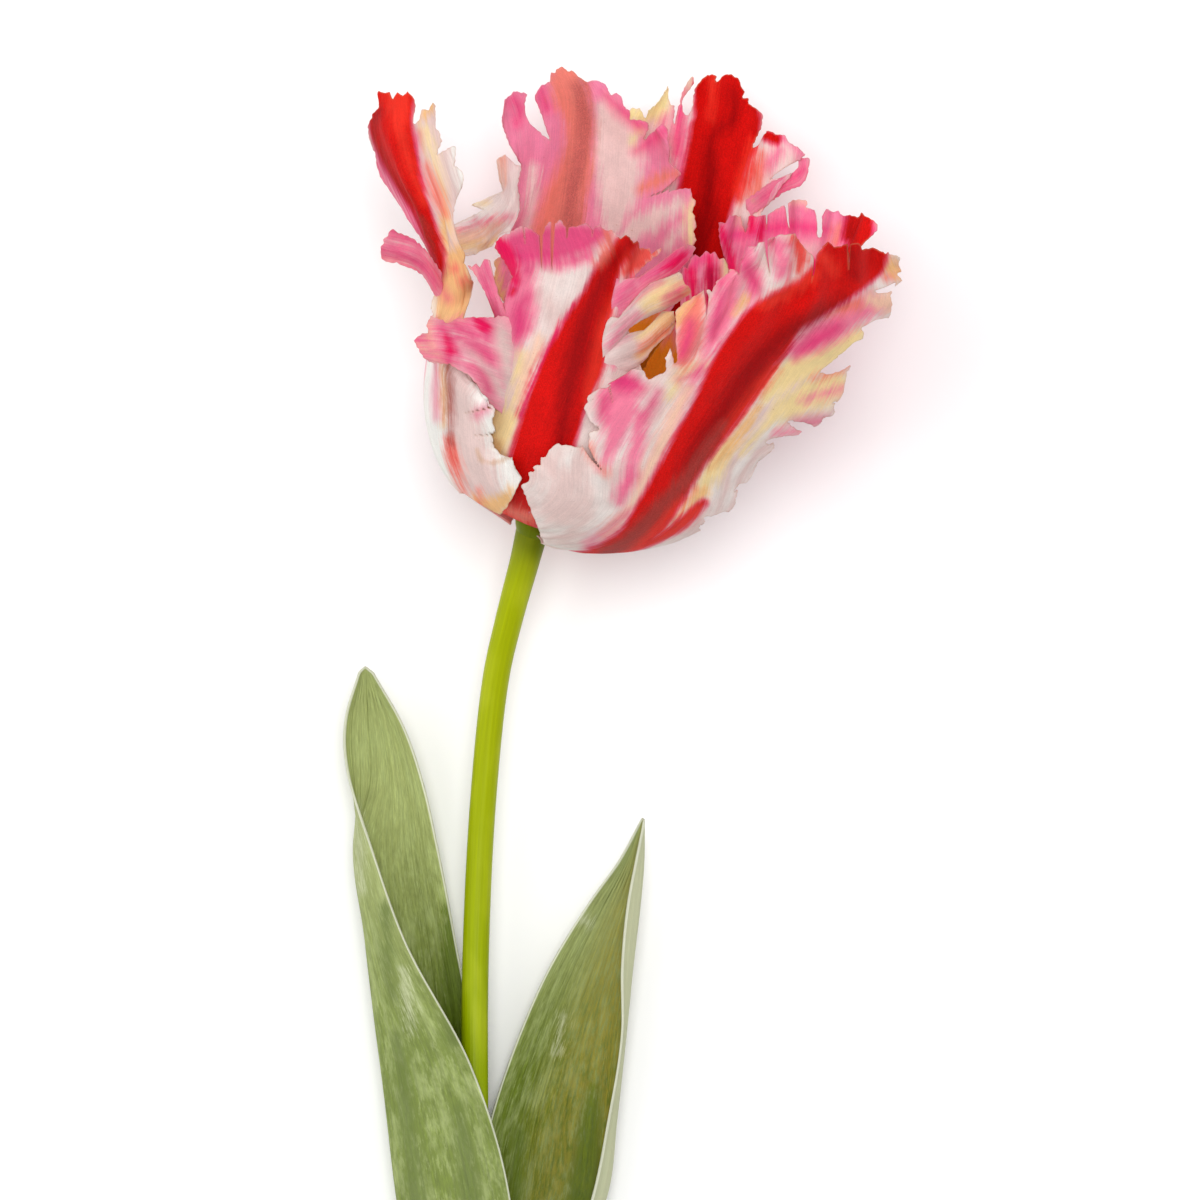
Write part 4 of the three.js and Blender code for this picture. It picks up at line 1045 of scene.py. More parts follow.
def paint_front(blade):
    """A red flame to the top right, with magenta tips and cream and pink beside it."""
    blade.paint(("scarlet", (-1.5, 8, 4.5), (0.8, 14, 6), (3, 20, 6.4), (6.6, 31, 6.3), (9.7, 38, 6.2),
                 (11.6, 44.6, 4.6), (14.6, 51.3, 3.3), (17.1, 58, 2.3), (20, 62, 2.2),
                 (22.2, 65, 1.8)), root=-0.1)
    blade.paint(
        ("cream", (-9, 15, 2.4), (-7.4, 22, 3.6), (-5.6, 28, 3.8), (-3.8, 34, 3), (-2.8, 38, 1.6)),
        ("apricot", (-8, 15, 1), (-7.6, 19, 0.8)),
        ("peach", (-2.6, 28, 1.4), (-1, 34, 1.6), (0.4, 38, 1.4), (1.6, 42, 1)),
        ("blush", (-7, 36, 1.6), (-5.6, 41, 2.8), (-3.2, 47, 4.4), (-2.6, 52, 3.6), (-2, 57, 3.4)),
        ("rose", (-3.6, 42, 1), (-2.6, 45.4, 2), (-2.8, 48.6, 1.2), (-1, 51, 0.6)),
        ("rose", (-5, 52, 0.4), (-3.6, 55, 0.8)),
        ("blush", (3, 59, 1.4), (8, 58.6, 1), (12, 60, 1.2)),
        ("blush", (17.4, 37, 1), (19, 45, 1.2), (20.5, 52, 1.6), (22, 55, 1.6)),
        ("rose", (-6, 61.6, 3), (-2, 62.4, 4.4), (3, 63, 4.6), (8, 63.6, 4.4), (12, 64.4, 3.6),
         (15, 65, 2.4)),
        ("rose", (-0.4, 60.4, 0.8), (-1, 57, 0.5)),
        ("rose", (5.8, 61, 0.8), (6, 57.6, 0.4)),
        ("rose", (9.6, 62.6, 0.9), (9.6, 59.6, 0.5)),
        ("hot", (-7.4, 63.4, 1.2), (-6, 60.4, 2.2), (-4.4, 57, 1.8), (-3.6, 54, 0.8)),
        ("hot", (-2.4, 25, 0.8), (-0.4, 31, 1), (3, 38, 1.1), (6, 44, 0.8), (9, 49.4, 0.4)),
        ("salmon", (15, 58.6, 0.8), (16.6, 62, 1.2), (16.6, 65, 1)),
        ("pale", (-5.2, 27, 0.8), (-5, 33, 1.2), (-5.2, 40, 1.4), (-5.6, 44, 1)),
        ("scarlet", (-4.5, 51.8, 0.3), (-4, 52.8, 0.4)),
        ("glow", (12, 28, 1), (14.2, 37, 1.6), (16, 45, 1.4), (17.6, 51, 1)),
        ("glow", (20.4, 56.6, 1.4), (23.4, 59.8, 3), (26.6, 61, 1.8)),
        ("hot", (0, 22, 1.6), (3, 31, 1.6), (5.6, 38, 1.2)),
        ("deep", (6.2, 18, 1.2), (7.2, 25, 2), (8.2, 31, 2.2), (10, 38, 2.6), (11.2, 44.6, 2.3),
         (14, 51.3, 2), (17.2, 58, 1.4), (20.6, 62, 1.3), (22.6, 65, 1.2)),
        ("glow", (-5.8, 4, 2), (-1.6, 2.2, 2)),
        ("salmon", (-4.6, 4.2, 0.9), (-1.4, 2.8, 1.6)),
    )


def front_wing():
    """The pink wing at the front petal's left."""
    wing = lobe([
        [(-4.6, 24.5, 31), (-2.4, 36, 31), (-3.2, 46, 28.4)],
        [(-9.4, 28.2, 32.4), (-8.6, 38, 32.6), (-9, 47, 29.2)],
        [(-12.8, 32.8, 34.6), (-13.4, 40, 33), (-13.4, 47.4, 28.6)],
        [(-18, 35.6, 32), (-18.6, 41.4, 28.8), (-18.2, 46.8, 24.6)],
        [(-22.4, 36.6, 25.8), (-26.4, 41.8, 22.8), (-22.8, 47.3, 20)],
    ], cells=(60, 80), reach=(1.06, 1.03), seed=12)
    wing.ruffle(0.5, 2.6, 6)
    wing.trim([
        (-2, 50), (-8.4, 46.8), (-13.5, 46.8), (-16.7, 46.5), (-18.6, 45.5), (-20.2, 46.5), (-22.6, 47.1),
        (-23.4, 45), (-23.1, 43.3), (-24.2, 43.3), (-26.3, 41.7), (-25.5, 40.1), (-24.2, 38),
        (-22.6, 36.6), (-18.4, 36.2), (-17, 35.3), (-14, 33.7), (-12.6, 31), (-11, 28), (-9.5, 22),
        (-2, 20),
    ])
    wing.fill("blush", 0.6)
    wing.paint(
        ("pale", (-7.4, 44.5, 1.2), (-6.4, 41, 2), (-5.6, 37, 1.4), (-5, 32, 1.4), (-5.6, 28, 1)),
        ("pale", (-15.4, 41, 0.4), (-12.4, 38, 0.8), (-9, 33.6, 0.8), (-6, 29, 0.8)),
        ("cream", (-22.6, 46.4, 0.8), (-22.6, 41, 1.6), (-20.4, 37.8, 1.2), (-18.4, 36.4, 0.8)),
        ("cream", (-25.6, 41.4, 1), (-23.8, 39.6, 1.4)),
        ("cream", (-17.4, 46, 0.6), (-14.6, 46.4, 0.4)),
        ("rose", (-19.4, 43.6, 1.1), (-17.6, 39.6, 1.6), (-18.4, 36.8, 1.1)),
        ("rose", (-16.6, 44.6, 1), (-13.2, 42.6, 1.3)),
        ("rose", (-17.6, 42, 0.7), (-12, 42.4, 0.9)),
        ("rose", (-14.6, 41, 0.8), (-11.4, 39.6, 1.2), (-9.2, 37.6, 1.2)),
        ("rose", (-13.4, 46.6, 0.9), (-10.6, 45.2, 2), (-10, 42, 1)),
        ("rose", (-13, 36, 0.5), (-10.6, 33.6, 0.6), (-9.6, 30.6, 0.4)),
        ("rose", (-25.8, 42.6, 0.5), (-24.2, 42.6, 0.6)),
        ("hot", (-18.9, 42.6, 0.5), (-17.8, 39.4, 0.9)),
        ("hot", (-12, 46.2, 0.6), (-10.4, 44.6, 1)),
    )
    return wing.skin()


def front_narrow_lobe():
    """The narrow lobe above the wing."""
    narrow = lobe([
        [(-7.6, 44, 26.4), (-6.2, 44.6, 27.6), (-4.8, 45.4, 28.4)],
        [(-9.8, 50.6, 25), (-8.6, 51.2, 26), (-7.2, 51.6, 26.6)],
        [(-12.2, 55.4, 23), (-10.4, 56, 24.4), (-8.4, 56.4, 25)],
        [(-14.6, 58.6, 20.5), (-11.6, 59.8, 22.6), (-9, 60, 23.6)],
    ], reach=(1.06, 1.03), seed=13)
    narrow.trim([
        (-14.3, 58.4), (-13.4, 57.8), (-12.4, 58.6), (-11.6, 57.6), (-10.6, 59.6), (-9.4, 59.4),
        (-8.9, 57.4), (-8.2, 54.4), (-7, 51.6), (-4, 46), (-4, 42), (-8, 42), (-8.4, 47), (-10, 51),
        (-12.2, 54.6), (-13.6, 56.6),
    ], teeth=0.1)
    narrow.fill("blush", 1.0)
    narrow.paint(
        ("cream", (-14, 58.2, 0.5), (-12.4, 56.4, 0.5)),
        ("rose", (-7.4, 46, 1.2), (-8.8, 50, 0.7), (-10, 54, 0.5), (-10.6, 58, 0.5)),
        ("deep", (-8.2, 47.2, 0.3), (-9.2, 49.6, 0.3)),
    )
    return narrow.skin()


def front_magenta_lobe():
    """The uppermost of the three lobes at the front petal's right."""
    magenta = lobe([
        [(17.5, 45, 34.6), (17.5, 50, 34.8), (18.5, 55, 34.4)],
        [(21.6, 49, 34.8), (21.2, 52, 35.2), (21.4, 55.6, 34.4)],
        [(26, 53, 34.6), (25, 54.8, 35), (24.4, 57, 34.2)],
        [(31.4, 55.8, 32.4), (30, 57.8, 33.2), (29, 60, 33)],
        [(36.8, 61, 28), (35, 62, 29), (33, 63, 30)],
    ], cells=(36, 70), reach=(1.08, 1.03), seed=15)
    magenta.ruffle(0.4, 2.4, 5)
    magenta.trim([
        (14, 42), (19.5, 46), (22, 50.2), (24, 52.2), (26, 54), (28, 54.8), (30, 55.6), (32, 56.6),
        (34, 58.6), (35, 60), (36.4, 62.4), (36.4, 63.6), (35.6, 63.8), (35, 62.8), (34.6, 63.4),
        (33.6, 61.8), (33.4, 62.6), (31.4, 61.4), (29.8, 60), (28.6, 59.2), (27, 58), (25, 56.6),
        (23.4, 55.4), (19.6, 55), (14, 56),
    ], teeth=0.15)
    magenta.fill("blush", 1.2)
    magenta.paint(
        ("pale", (34.6, 62, 0.8), (36, 63, 0.8)),
        ("rose", (24, 55, 0.6), (27, 56.6, 1.2), (31, 58.6, 2.2), (34, 61, 1.4)),
        ("hot", (28.6, 57.4, 0.5), (31.4, 58.6, 1.2), (33, 60, 0.8)),
        ("orange", (23.4, 55, 0.3), (25.2, 55.6, 0.5)),
        ("rose", (19.4, 51, 0.4), (22, 53.4, 0.6)),
    )
    return magenta.skin()


def front_cream_lobe():
    """The cream lobe under that one."""
    cream = lobe([
        [(15.5, 38, 35), (15.5, 42, 35.2), (16.5, 46, 35.2)],
        [(20.4, 42.4, 34.6), (20, 45, 35.8), (20.4, 48.4, 36.2)],
        [(25.4, 46.2, 34.4), (25, 49.4, 36), (25, 53.4, 36.6)],
        [(30.4, 48.6, 33.4), (30.4, 51.8, 35.4), (29.4, 55.6, 36.2)],
        [(35.2, 51, 31.6), (35, 54, 33.4), (32.6, 57, 34.6)],
    ], cells=(40, 70), reach=(1.08, 1.03), seed=14)
    cream.ruffle(0.4, 2.4, 5)
    cream.trim([
        (13, 48), (19, 46.5), (20, 47.9), (22, 50.2), (24, 52.4), (26, 54.1), (28, 54.9), (30, 55.5),
        (32.4, 56.6), (33, 56), (33.2, 54.8), (33.6, 54), (34.4, 53.4), (34.9, 52.6), (34.6, 51.6),
        (33.6, 51), (32, 49.8), (29, 48.2), (26, 46.9), (24, 45.9), (21.4, 44.2), (20.7, 42.9), (18, 36),
        (13, 36),
    ], teeth=0.15)
    cream.paint(
        ("cream", (25, 49.6, 1.6), (29, 52, 2.6), (33, 53.6, 2)),
        ("blush", (17, 40, 0.5), (20, 45, 0.7), (23, 47.4, 0.5)),
        ("blush", (20, 48.6, 0.6), (24, 52.6, 0.7), (28, 54.6, 0.4)),
        ("blush", (29, 50.6, 0.3), (31, 52, 0.5), (33, 53.4, 0.6)),
        ("rose", (30.4, 50.2, 0.3), (32.4, 51.4, 0.4)),
        ("apricot", (33, 51.4, 0.4), (34.4, 52.4, 0.6)),
    )
    return cream.skin()


def front_lower_lobe():
    """The apricot lobe, lowest of the three."""
    lower = lobe([
        [(15.5, 33.5, 35), (16, 38, 35), (17, 42, 34.6)],
        [(21.2, 35, 33.6), (20.6, 39.4, 34.6), (20.8, 43.2, 34)],
        [(25.4, 38.2, 31.6), (25, 41.4, 33), (24.6, 44.2, 32.8)],
        [(29.4, 42, 29.6), (28.4, 44.6, 31), (27.2, 46.8, 31.4)],
        [(32.4, 45.6, 28), (31.8, 47.2, 28.8), (30, 48.8, 30)],
    ], cells=(40, 60), reach=(1.08, 1.03), seed=16)
    lower.ruffle(0.4, 2.0, 4)
    lower.trim([
        (14, 44), (20.7, 42.9), (23, 43.5), (24.6, 43.8), (26, 45.2), (27.4, 46.6), (28.6, 47.9),
        (31.2, 48), (31.4, 46), (31.4, 44.6), (30.6, 43.3), (28, 41.1), (26, 39), (24.3, 36), (22, 30),
        (14, 30),
    ], teeth=0.15)
    lower.paint(
        ("cream", (24, 42.4, 1.2), (27, 45, 1.6), (30, 47, 1.4)),
        ("apricot", (23.6, 38, 0.6), (26.6, 41.4, 1), (29, 44.6, 1.4), (30.6, 46, 0.8)),
        ("blush", (17.6, 42, 0.8), (20.4, 43, 0.8)),
        ("salmon", (23.6, 40.4, 0.4), (27, 42.4, 0.5), (29, 43.8, 0.4)),
    )
    return lower.skin()


def front_petal():
    blade = front_blade()
    paint_front(blade)
    skins = [
        blade.skin(), front_wing(), front_narrow_lobe(), front_magenta_lobe(), front_cream_lobe(),
        front_lower_lobe(),
    ]
    layers = "cream apricot peach blush pale rose hot orange scarlet glow salmon deep"
    petal("front_petal", "petal_front", skins, layers)


def right_front_blade():
    """The right front petal's broad blade, with its fringes, slits and folds."""
    blade = Sheet([
        outer(0.4, 14, 50, 86),
        outer(4.5, 12, 50, 88),
        outer(11, 3, 50, 88),
        [seen(-2.6, 9.6, 36.2), *outer(22, 50), seen(43.8, 4.6, 0)],
        above((7, 19, 38.6), (36, 16, 30.4), (52.5, 17, 2)),
        above((13.5, 28.6, 39.4), (42, 25, 30.5), (67, 27, 4)),
        above((23.5, 35.4, 39.4), (48.8, 35, 32), (71, 37.5, 10)),
        above((31.5, 48, 39.4), (57.5, 47, 36), (79.8, 47.6, 20)),
        above((43.5, 58, 42), (61.5, 64.6, 45), (81, 60, 30)),
    ], BLADE_CELLS, waves=[("top", 1.6, 5), ("right", 1.4, 6)], reach=(1.06, 1.03), seed=21)
    blade.ruffle(0.6, 3.2, 7)
    # Low on the petal the cut eases in, so that it leaves no ledge.
    ease_in = np.clip((0.2 - blade.v) * 120, 0, FAR)
    blade.trim([
        (1.6, -3.4), (1.6, -1), (-2.7, 9.9), (-0.8, 10.6), (-1, 12.8), (0.2, 12.9), (0, 14.2),
        (1.8, 14.3), (1.6, 16), (3, 16.2), (3.8, 17.8), (5.4, 19), (10.6, 18.1), (12.3, 19), (12.4, 20.4),
        (11.9, 21.6), (14.9, 21.8), (12.6, 23.6), (11.9, 25.2), (11.2, 26.8), (12, 28.2), (12, 29.6),
        (13.3, 30.2), (13.8, 31.3), (16.3, 31), (17, 34.5), (20, 35.8), (24.6, 35), (25.6, 33),
        (29.2, 34.8), (29.2, 38), (29.9, 39), (29.4, 40.4), (29.6, 41.4), (30.2, 41), (30.9, 39),
        (31.4, 36.4), (31.9, 37.5), (31.6, 40), (31.3, 48), (32.4, 49.2), (33.4, 50.4), (34.6, 51),
        (37.2, 52.2), (38.8, 53), (39.4, 52.4), (40.6, 54.8), (42, 55.6), (43, 56.4), (43.2, 57.4),
        (44.2, 57.2), (45.4, 55.6), (45.8, 60), (47, 62.2), (49, 64.4), (51, 63.6), (55.3, 64.8),
        (57.6, 65), (59.5, 62.4), (61.6, 59.4), (63.6, 62), (65, 63.2), (66.4, 62), (69.4, 62.8),
        (71.8, 62.8), (72.6, 61.6), (75, 61.9), (77.6, 60.7), (78.1, 62.3), (78.6, 60.4), (81, 59.9),
        (80.6, 57.8), (82, 57.2), (80.2, 55.9), (81.9, 55.1), (80, 53.2), (78.9, 51.2), (79.4, 49.2),
        (79, 47.5), (80.4, 46.8), (75.5, 46), (72.4, 44.2), (73.2, 43.4), (72.9, 41.6), (71, 41.2),
        (69, 39.3), (66, 36.8), (63.4, 34.7), (65.5, 34.3), (68.6, 35.3), (71.2, 37.2), (69.6, 35),
        (69, 32), (68.8, 30.4), (67.6, 28.2), (66.4, 28), (67, 26), (66.3, 25), (64.2, 24.7), (63.6, 23),
        (62.3, 22.5), (60.4, 23.4), (56, 24), (58.5, 22), (62.6, 20.9), (56.5, 20.6), (51.2, 19.6),
        (52.4, 18.6), (53.4, 19.6), (53.7, 18.4), (52.8, 17.2), (51.4, 16), (50, 15), (49, 12.6),
        (47.4, 10.2), (45.5, 9.9), (44.6, 8.4), (45.4, 9), (45.2, 7.4), (44.8, 5.5), (43.6, 3.8),
        (42, 3.8), (39.8, 2.8), (37.8, 2.8), (38.4, 1.4), (36.8, 0.8), (37.6, -0.8), (36, -1.2),
        (36.4, -3), (34.8, -3.4), (36, -12), (0, -12),
    ], where=blade.v > 0.12, slack=ease_in)
    blade.trim([
        (75.2, 52.4), (77.6, 53.2), (80, 54.3), (79.6, 52.6), (78, 52), (76, 51.8),
    ], where=blade.u > 0, teeth=0.1, hole=True)
    blade.slit(1.2, (11.4, 18.8), (13.2, 15.6), (15.7, 12.5))
    blade.slit(0.8, (51.3, 64), (51.6, 60), (52.4, 55))
    blade.slit(0.9, (61.7, 60.5), (61.8, 57), (61.2, 53.5))
    blade.slit(0.6, (69.6, 63), (69.5, 56.6))
    blade.slit(0.7, (16.8, 34.8), (17, 31), (17.8, 27.4))
    blade.slit(0.6, (38, 52.5), (38, 48), (38.4, 45.2))
    blade.slit(0.6, (45.6, 58), (45.4, 55.6))
    blade.crease(0.8, (47.5, 63, 1.6), (49.5, 57, 1.6), (52, 52, 1.4))
    blade.crease(0.8, (55, 63.5, 1.8), (55, 57, 1.6), (55.5, 53, 1.2))
    blade.crease(-0.9, (44.8, 57, 1.2), (44, 50, 1.2), (40, 41, 1))
    blade.crease(-0.9, (38.4, 51, 1), (38, 45, 1), (36.6, 39, 1))
    blade.crease(0.8, (34.4, 50, 1.8), (34.2, 44, 1.8), (33, 38, 1.4))
    blade.crease(-0.8, (61.6, 60, 1.2), (61, 54, 1.2), (59, 50, 1))
    return blade


def paint_right_front(blade):
    """A broad red flame, pink and peach left of it, and cream fringes right of it."""
    blade.paint(("scarlet", (15.5, -4.6, 1.6), (22, -2, 3.3), (26.7, 4, 4), (30.6, 10.6, 4.2),
                 (34.9, 17.9, 4.6), (39.7, 25.3, 5.2), (43.6, 31.9, 5.9), (48.2, 39.2, 6.1),
                 (51.6, 43.6, 6.2), (55.5, 47.6, 4.9), (61.5, 51, 4.4), (66.8, 55.5, 5.6),
                 (70.5, 60.5, 7.4)), root=0.0)
    blade.paint(
        # Beside the broad flame, its dark heart, and the brown along its right side.
        ("scarlet", (27.6, 0, 1.2), (31.6, 6.4, 1.2)),
        ("scarlet", (23, -4.4, 0.7), (30, -0.6, 1.1), (34, 2.6, 1.1), (37.6, 6, 0.7)),
        ("deep", (33, 13, 1.2), (36.6, 18.5, 1.8), (41, 25, 2.2), (46, 32, 2.6), (51, 38.4, 2.4),
         (56.4, 43.6, 1.8), (62, 47, 1.4), (68, 50.4, 1)),
        # Painted shadow beside the slit at the top.
        ("deep", (70.6, 61.6, 0.6), (70.8, 56, 0.7)),
        ("brown", (16, -5, 1.2), (20, -3, 1.5), (25, 1.6, 1.7), (29, 6, 1.7), (32, 9, 1.7), (36, 14, 1.6),
         (39, 19, 1.3), (42, 23, 0.7)),
        ("glow", (42, 22, 0.9), (45, 26.4, 1.2), (49, 31, 1.8), (53, 35.6, 1.2)),
        ("glow", (20, -5, 1), (25, -1.6, 1.3), (29, 2.6, 1.2), (32, 6.6, 0.8)),
        ("glow", (26, -3, 0.6), (31, 0.2, 0.8), (36, 4.4, 0.7)),
        ("glow", (50.6, 49.4, 1), (55, 51.6, 1.2), (58, 53.6, 1.4), (61.6, 56, 1.6)),
        ("glow", (57.6, 64, 1.2), (59.4, 60.6, 1.6), (58.6, 57, 1.2)),
        ("glow", (64, 60, 1), (66, 57, 1.2)),
        # Left of the flame: pink shoulders, a peach band and white.
        ("blush", (15, 14, 0.8), (18, 20, 2.2), (19, 26, 4), (19, 31, 4)),
        ("blush", (23.4, 25, 1.6), (23, 19, 1.8), (21.4, 13, 1.4), (19, 7, 0.8)),
        ("pale", (5, 5, 3), (8, 10, 3), (11, 15, 1.6)),
        ("blush", (24, 10, 0.8), (28, 18, 0.9), (31.6, 25, 0.9), (35, 32, 0.8), (39, 39.6, 0.8)),
        ("peach", (16, -1, 1.2), (22, 5, 1.3), (26, 14, 1.4), (29, 20, 1.5), (31.6, 26, 1.4), (34, 31, 1)),
        ("cream", (30, 29.4, 0.8), (34, 35, 1.4), (38, 36.4, 1)),
        ("rose", (17.8, 33, 1.8), (21, 32.4, 2.4), (24, 31, 1.2)),
        ("rose", (15, 24.6, 0.7), (15.8, 28.6, 0.9)),
        ("rose", (24.6, 24, 0.6), (26, 27, 1.1), (27.6, 30, 0.7)),
        ("rose", (22.5, 12, 0.5), (20.6, 9, 0.6), (19.4, 6, 0.4)),
        ("rose", (32.4, 33, 0.4), (36.8, 34.8, 0.5)),
        ("salmon", (16, 12.4, 0.3), (13.8, 15, 0.6), (12.2, 18.2, 0.7)),
        ("rose", (12, -3, 0.3), (17, 0.4, 0.5), (21, 4, 0.3)),
        # Right of the second stripe: apricot, cream and pink-tipped fringes.
        ("apricot", (26, -1.8, 0.6), (31, 1.8, 0.9), (35, 5.4, 1.4), (38, 8.6, 1)),
        ("cream", (36.6, 8.6, 1.8), (39.6, 13.6, 2.4), (42.4, 18.6, 1.8)),
        ("apricot", (38.6, 13, 0.7), (41, 16, 1.2), (46, 22, 1.3), (49.6, 27, 0.8)),
        ("salmon", (29.6, 2.6, 0.5), (33.6, 6, 0.8), (36, 9, 0.6)),
        ("cream", (46, 17, 0.4), (50.6, 22.6, 0.8), (56, 27, 2.4), (61, 29.6, 3.4), (67, 32, 3)),
        ("cream", (51.6, 29.6, 2), (56.4, 34.6, 3), (62, 36.6, 3), (69, 41, 2.6), (72.4, 43.4, 1.4)),
        ("rose", (58, 23.6, 0.4), (61, 23.8, 0.7), (64, 24, 0.7)),
        ("blush", (53.6, 21.4, 0.5), (57.6, 21.4, 0.7), (62.4, 21, 0.5)),
        ("blush", (60, 28.6, 0.4), (64, 30, 0.6), (68.4, 31.2, 0.7)),
        ("salmon", (62, 33.4, 0.4), (66, 34.6, 0.6), (69.6, 35.8, 0.4)),
        ("blush", (57.6, 39.8, 1.4), (63, 43, 3), (69, 46.6, 3.2), (74, 49.4, 2.8), (78, 49.6, 1.2)),
        ("rose", (58, 39, 1.2), (62, 41.4, 1.8), (67, 44.6, 1.2)),
        ("salmon", (65, 47.4, 0.9), (71, 49.8, 1.4)),
        ("peach", (75, 58, 1.2), (78, 58.6, 2.2), (81, 57, 1.6)),
        ("apricot", (76.4, 57.4, 0.4), (79.4, 57.6, 1.3), (81, 56, 0.9)),
        ("peach", (74, 50.6, 1.2), (78, 50, 2.2)),
        ("salmon", (77.6, 55.4, 0.7), (80.6, 57, 0.9)),
        # The lobes above the flame's left side.
        ("salmon", (33.2, 37, 1.4), (34.4, 42, 2.8), (35, 47, 2.8), (36.4, 50.4, 1.8)),
        ("apricot", (32.2, 45, 0.6), (33, 48.4, 0.8), (34.6, 50.4, 0.5)),
        ("rose", (33, 38.4, 0.9), (34.2, 42, 1.4), (34.8, 45, 1)),
        ("blush", (38.6, 39.6, 1.2), (41, 45, 2.8), (43, 50, 3), (44, 55, 2.6)),
        ("rose", (39.6, 43, 0.4), (41, 49, 0.6), (41.6, 54, 0.5)),
        ("cream", (43.4, 53.6, 0.6), (44, 56.6, 0.7)),
        ("apricot", (44.8, 47.4, 0.6), (46.6, 50.6, 0.8)),
        ("blush", (47, 61, 2), (47.4, 57, 2.4), (49, 53, 1.6), (48, 50, 1)),
        ("rose", (46.4, 58.4, 0.8), (48.4, 55.4, 0.9), (49.6, 52.4, 0.5)),
        ("blush", (51.6, 63, 0.8), (54.4, 61, 1.6), (55, 56.6, 1.6)),
        ("rose", (53, 63.6, 0.4), (56.6, 62.4, 0.6)),
    )


def right_front_petal():
    blade = right_front_blade()
    paint_right_front(blade)
    skins = [blade.skin()]
    layers = "pale cream blush peach salmon apricot rose scarlet glow deep brown"
    petal("right_front_petal", "petal_right_front", skins, layers, lift=1.08)


def left_blade():
    """The left petal's blade: a tall narrow top on a hollow lower half."""
    blade = Sheet([
        outer(0.4, -108, -72, -38),
        outer(4.5, -118, -74, -28),
        outer(11, -126, -75, -19),
        [*outer(22, -128, -75), seen(-3.4, 10.8, 36)],
        [*outer(32, -124, -76), seen(-9, 20, 34.6)],
        [*outer(39, -108), *outer(40, -77), seen(-13, 32, 32)],
        above((-22.6, 46, 1), (-19.4, 46, 9), (-16, 45, 15)),
        above((-21.8, 56, 3), (-18, 57.4, 9), (-13.2, 57.4, 13)),
        above((-27, 67, 0), (-22, 68, 8), (-16.6, 67.4, 11)),
        above((-34.4, 80, -3), (-27, 80, 7), (-15.4, 78.4, 9)),
        above((-36.2, 92.6, -2), (-30.4, 97.2, 5), (-20.8, 94.6, 7)),
    ], BLADE_CELLS, waves=[("right", 1.2, 5)], reach=(1.06, 1.02), seed=41)
    blade.ruffle(0.5, 3.0, 6)
    blade.crease(1.6, (-20.6, 58, 1.2), (-23.6, 70, 1.8), (-28, 80, 2.8), (-31, 89, 3.6))
    blade.crease(-1.0, (-18.6, 60, 0.8), (-20.4, 70, 1), (-24, 80, 1.2), (-26, 88, 1.2))
    blade.trim([
        (-14, 40), (-13.9, 47), (-13.3, 52), (-12.8, 54.6), (-15, 58.8), (-14.5, 60.5), (-16.4, 64),
        (-17.2, 67.2), (-17.3, 68.8), (-16.6, 73), (-15.2, 76), (-14.6, 78), (-15.5, 79.2), (-17.1, 80.2),
        (-16.9, 81.4), (-16.7, 84.6), (-17.8, 84.6), (-20.9, 82.8), (-19.8, 85.6), (-20.5, 87.9),
        (-21.3, 88.2), (-21.1, 93.7), (-22, 94.4), (-23, 92.6), (-24.6, 92.8), (-25, 90.4), (-26, 89.6),
        (-26.2, 90.4), (-25.6, 93.4), (-26.2, 95.3), (-27.5, 96.8), (-28.6, 95.6), (-29.9, 96.6),
        (-30.8, 95), (-31.5, 96.5), (-33.2, 96.4), (-34, 97), (-34.3, 96.2), (-33.9, 93.2), (-35.3, 92),
        (-36.5, 89), (-36.3, 86.5), (-34.9, 83), (-34.6, 80.5), (-33.5, 77), (-32.4, 74), (-30.2, 70.8),
        (-27.5, 68.2), (-25, 64.6), (-23.2, 61.5), (-21.5, 56), (-21, 53), (-22.7, 50), (-22.8, 48.5),
        (-22, 47.5), (-23.2, 46.8), (-22.6, 45), (-30, 40), (-30, 20), (0, 20),
    ], where=blade.v > 0.52)
    blade.trim([
        (-2.7, 9.9), (-3.9, 12.5), (-4.7, 15.6), (-7.8, 15.8), (-9.6, 17.8), (-9.9, 20), (-8.8, 20.7),
        (-9.8, 22.4), (-9.2, 26.4), (-10.8, 27.8), (-11.6, 29.6), (-12.8, 31.6), (-14, 33.6), (-14.4, 35),
        (-14, 42), (-40, 42), (-40, -20), (20, -20), (-5.9, 3.9),
    ], where=(blade.v < 0.5) & (blade.v > 0.12) & (blade.u > 0.2))
    blade.trim([
        (-30, 8), (-15, 8), (-11.6, 5.6), (-5.6, 2.4), (-3.6, 0.4), (2, 0.4), (2, 30), (-30, 30),
    ], where=(blade.v < 0.2) & (blade.u > -0.1), teeth=0.1)
    blade.slit(0.7, (-9.2, 26.3), (-12, 26), (-15.4, 25.6))
    blade.slit(0.5, (-8.8, 20.6), (-11, 20.5), (-13.2, 20.8))
    blade.crease(-2.0, (-4, 11, 3), (-8.6, 17, 3), (-9.6, 24, 3), (-13, 32, 3))
    return blade


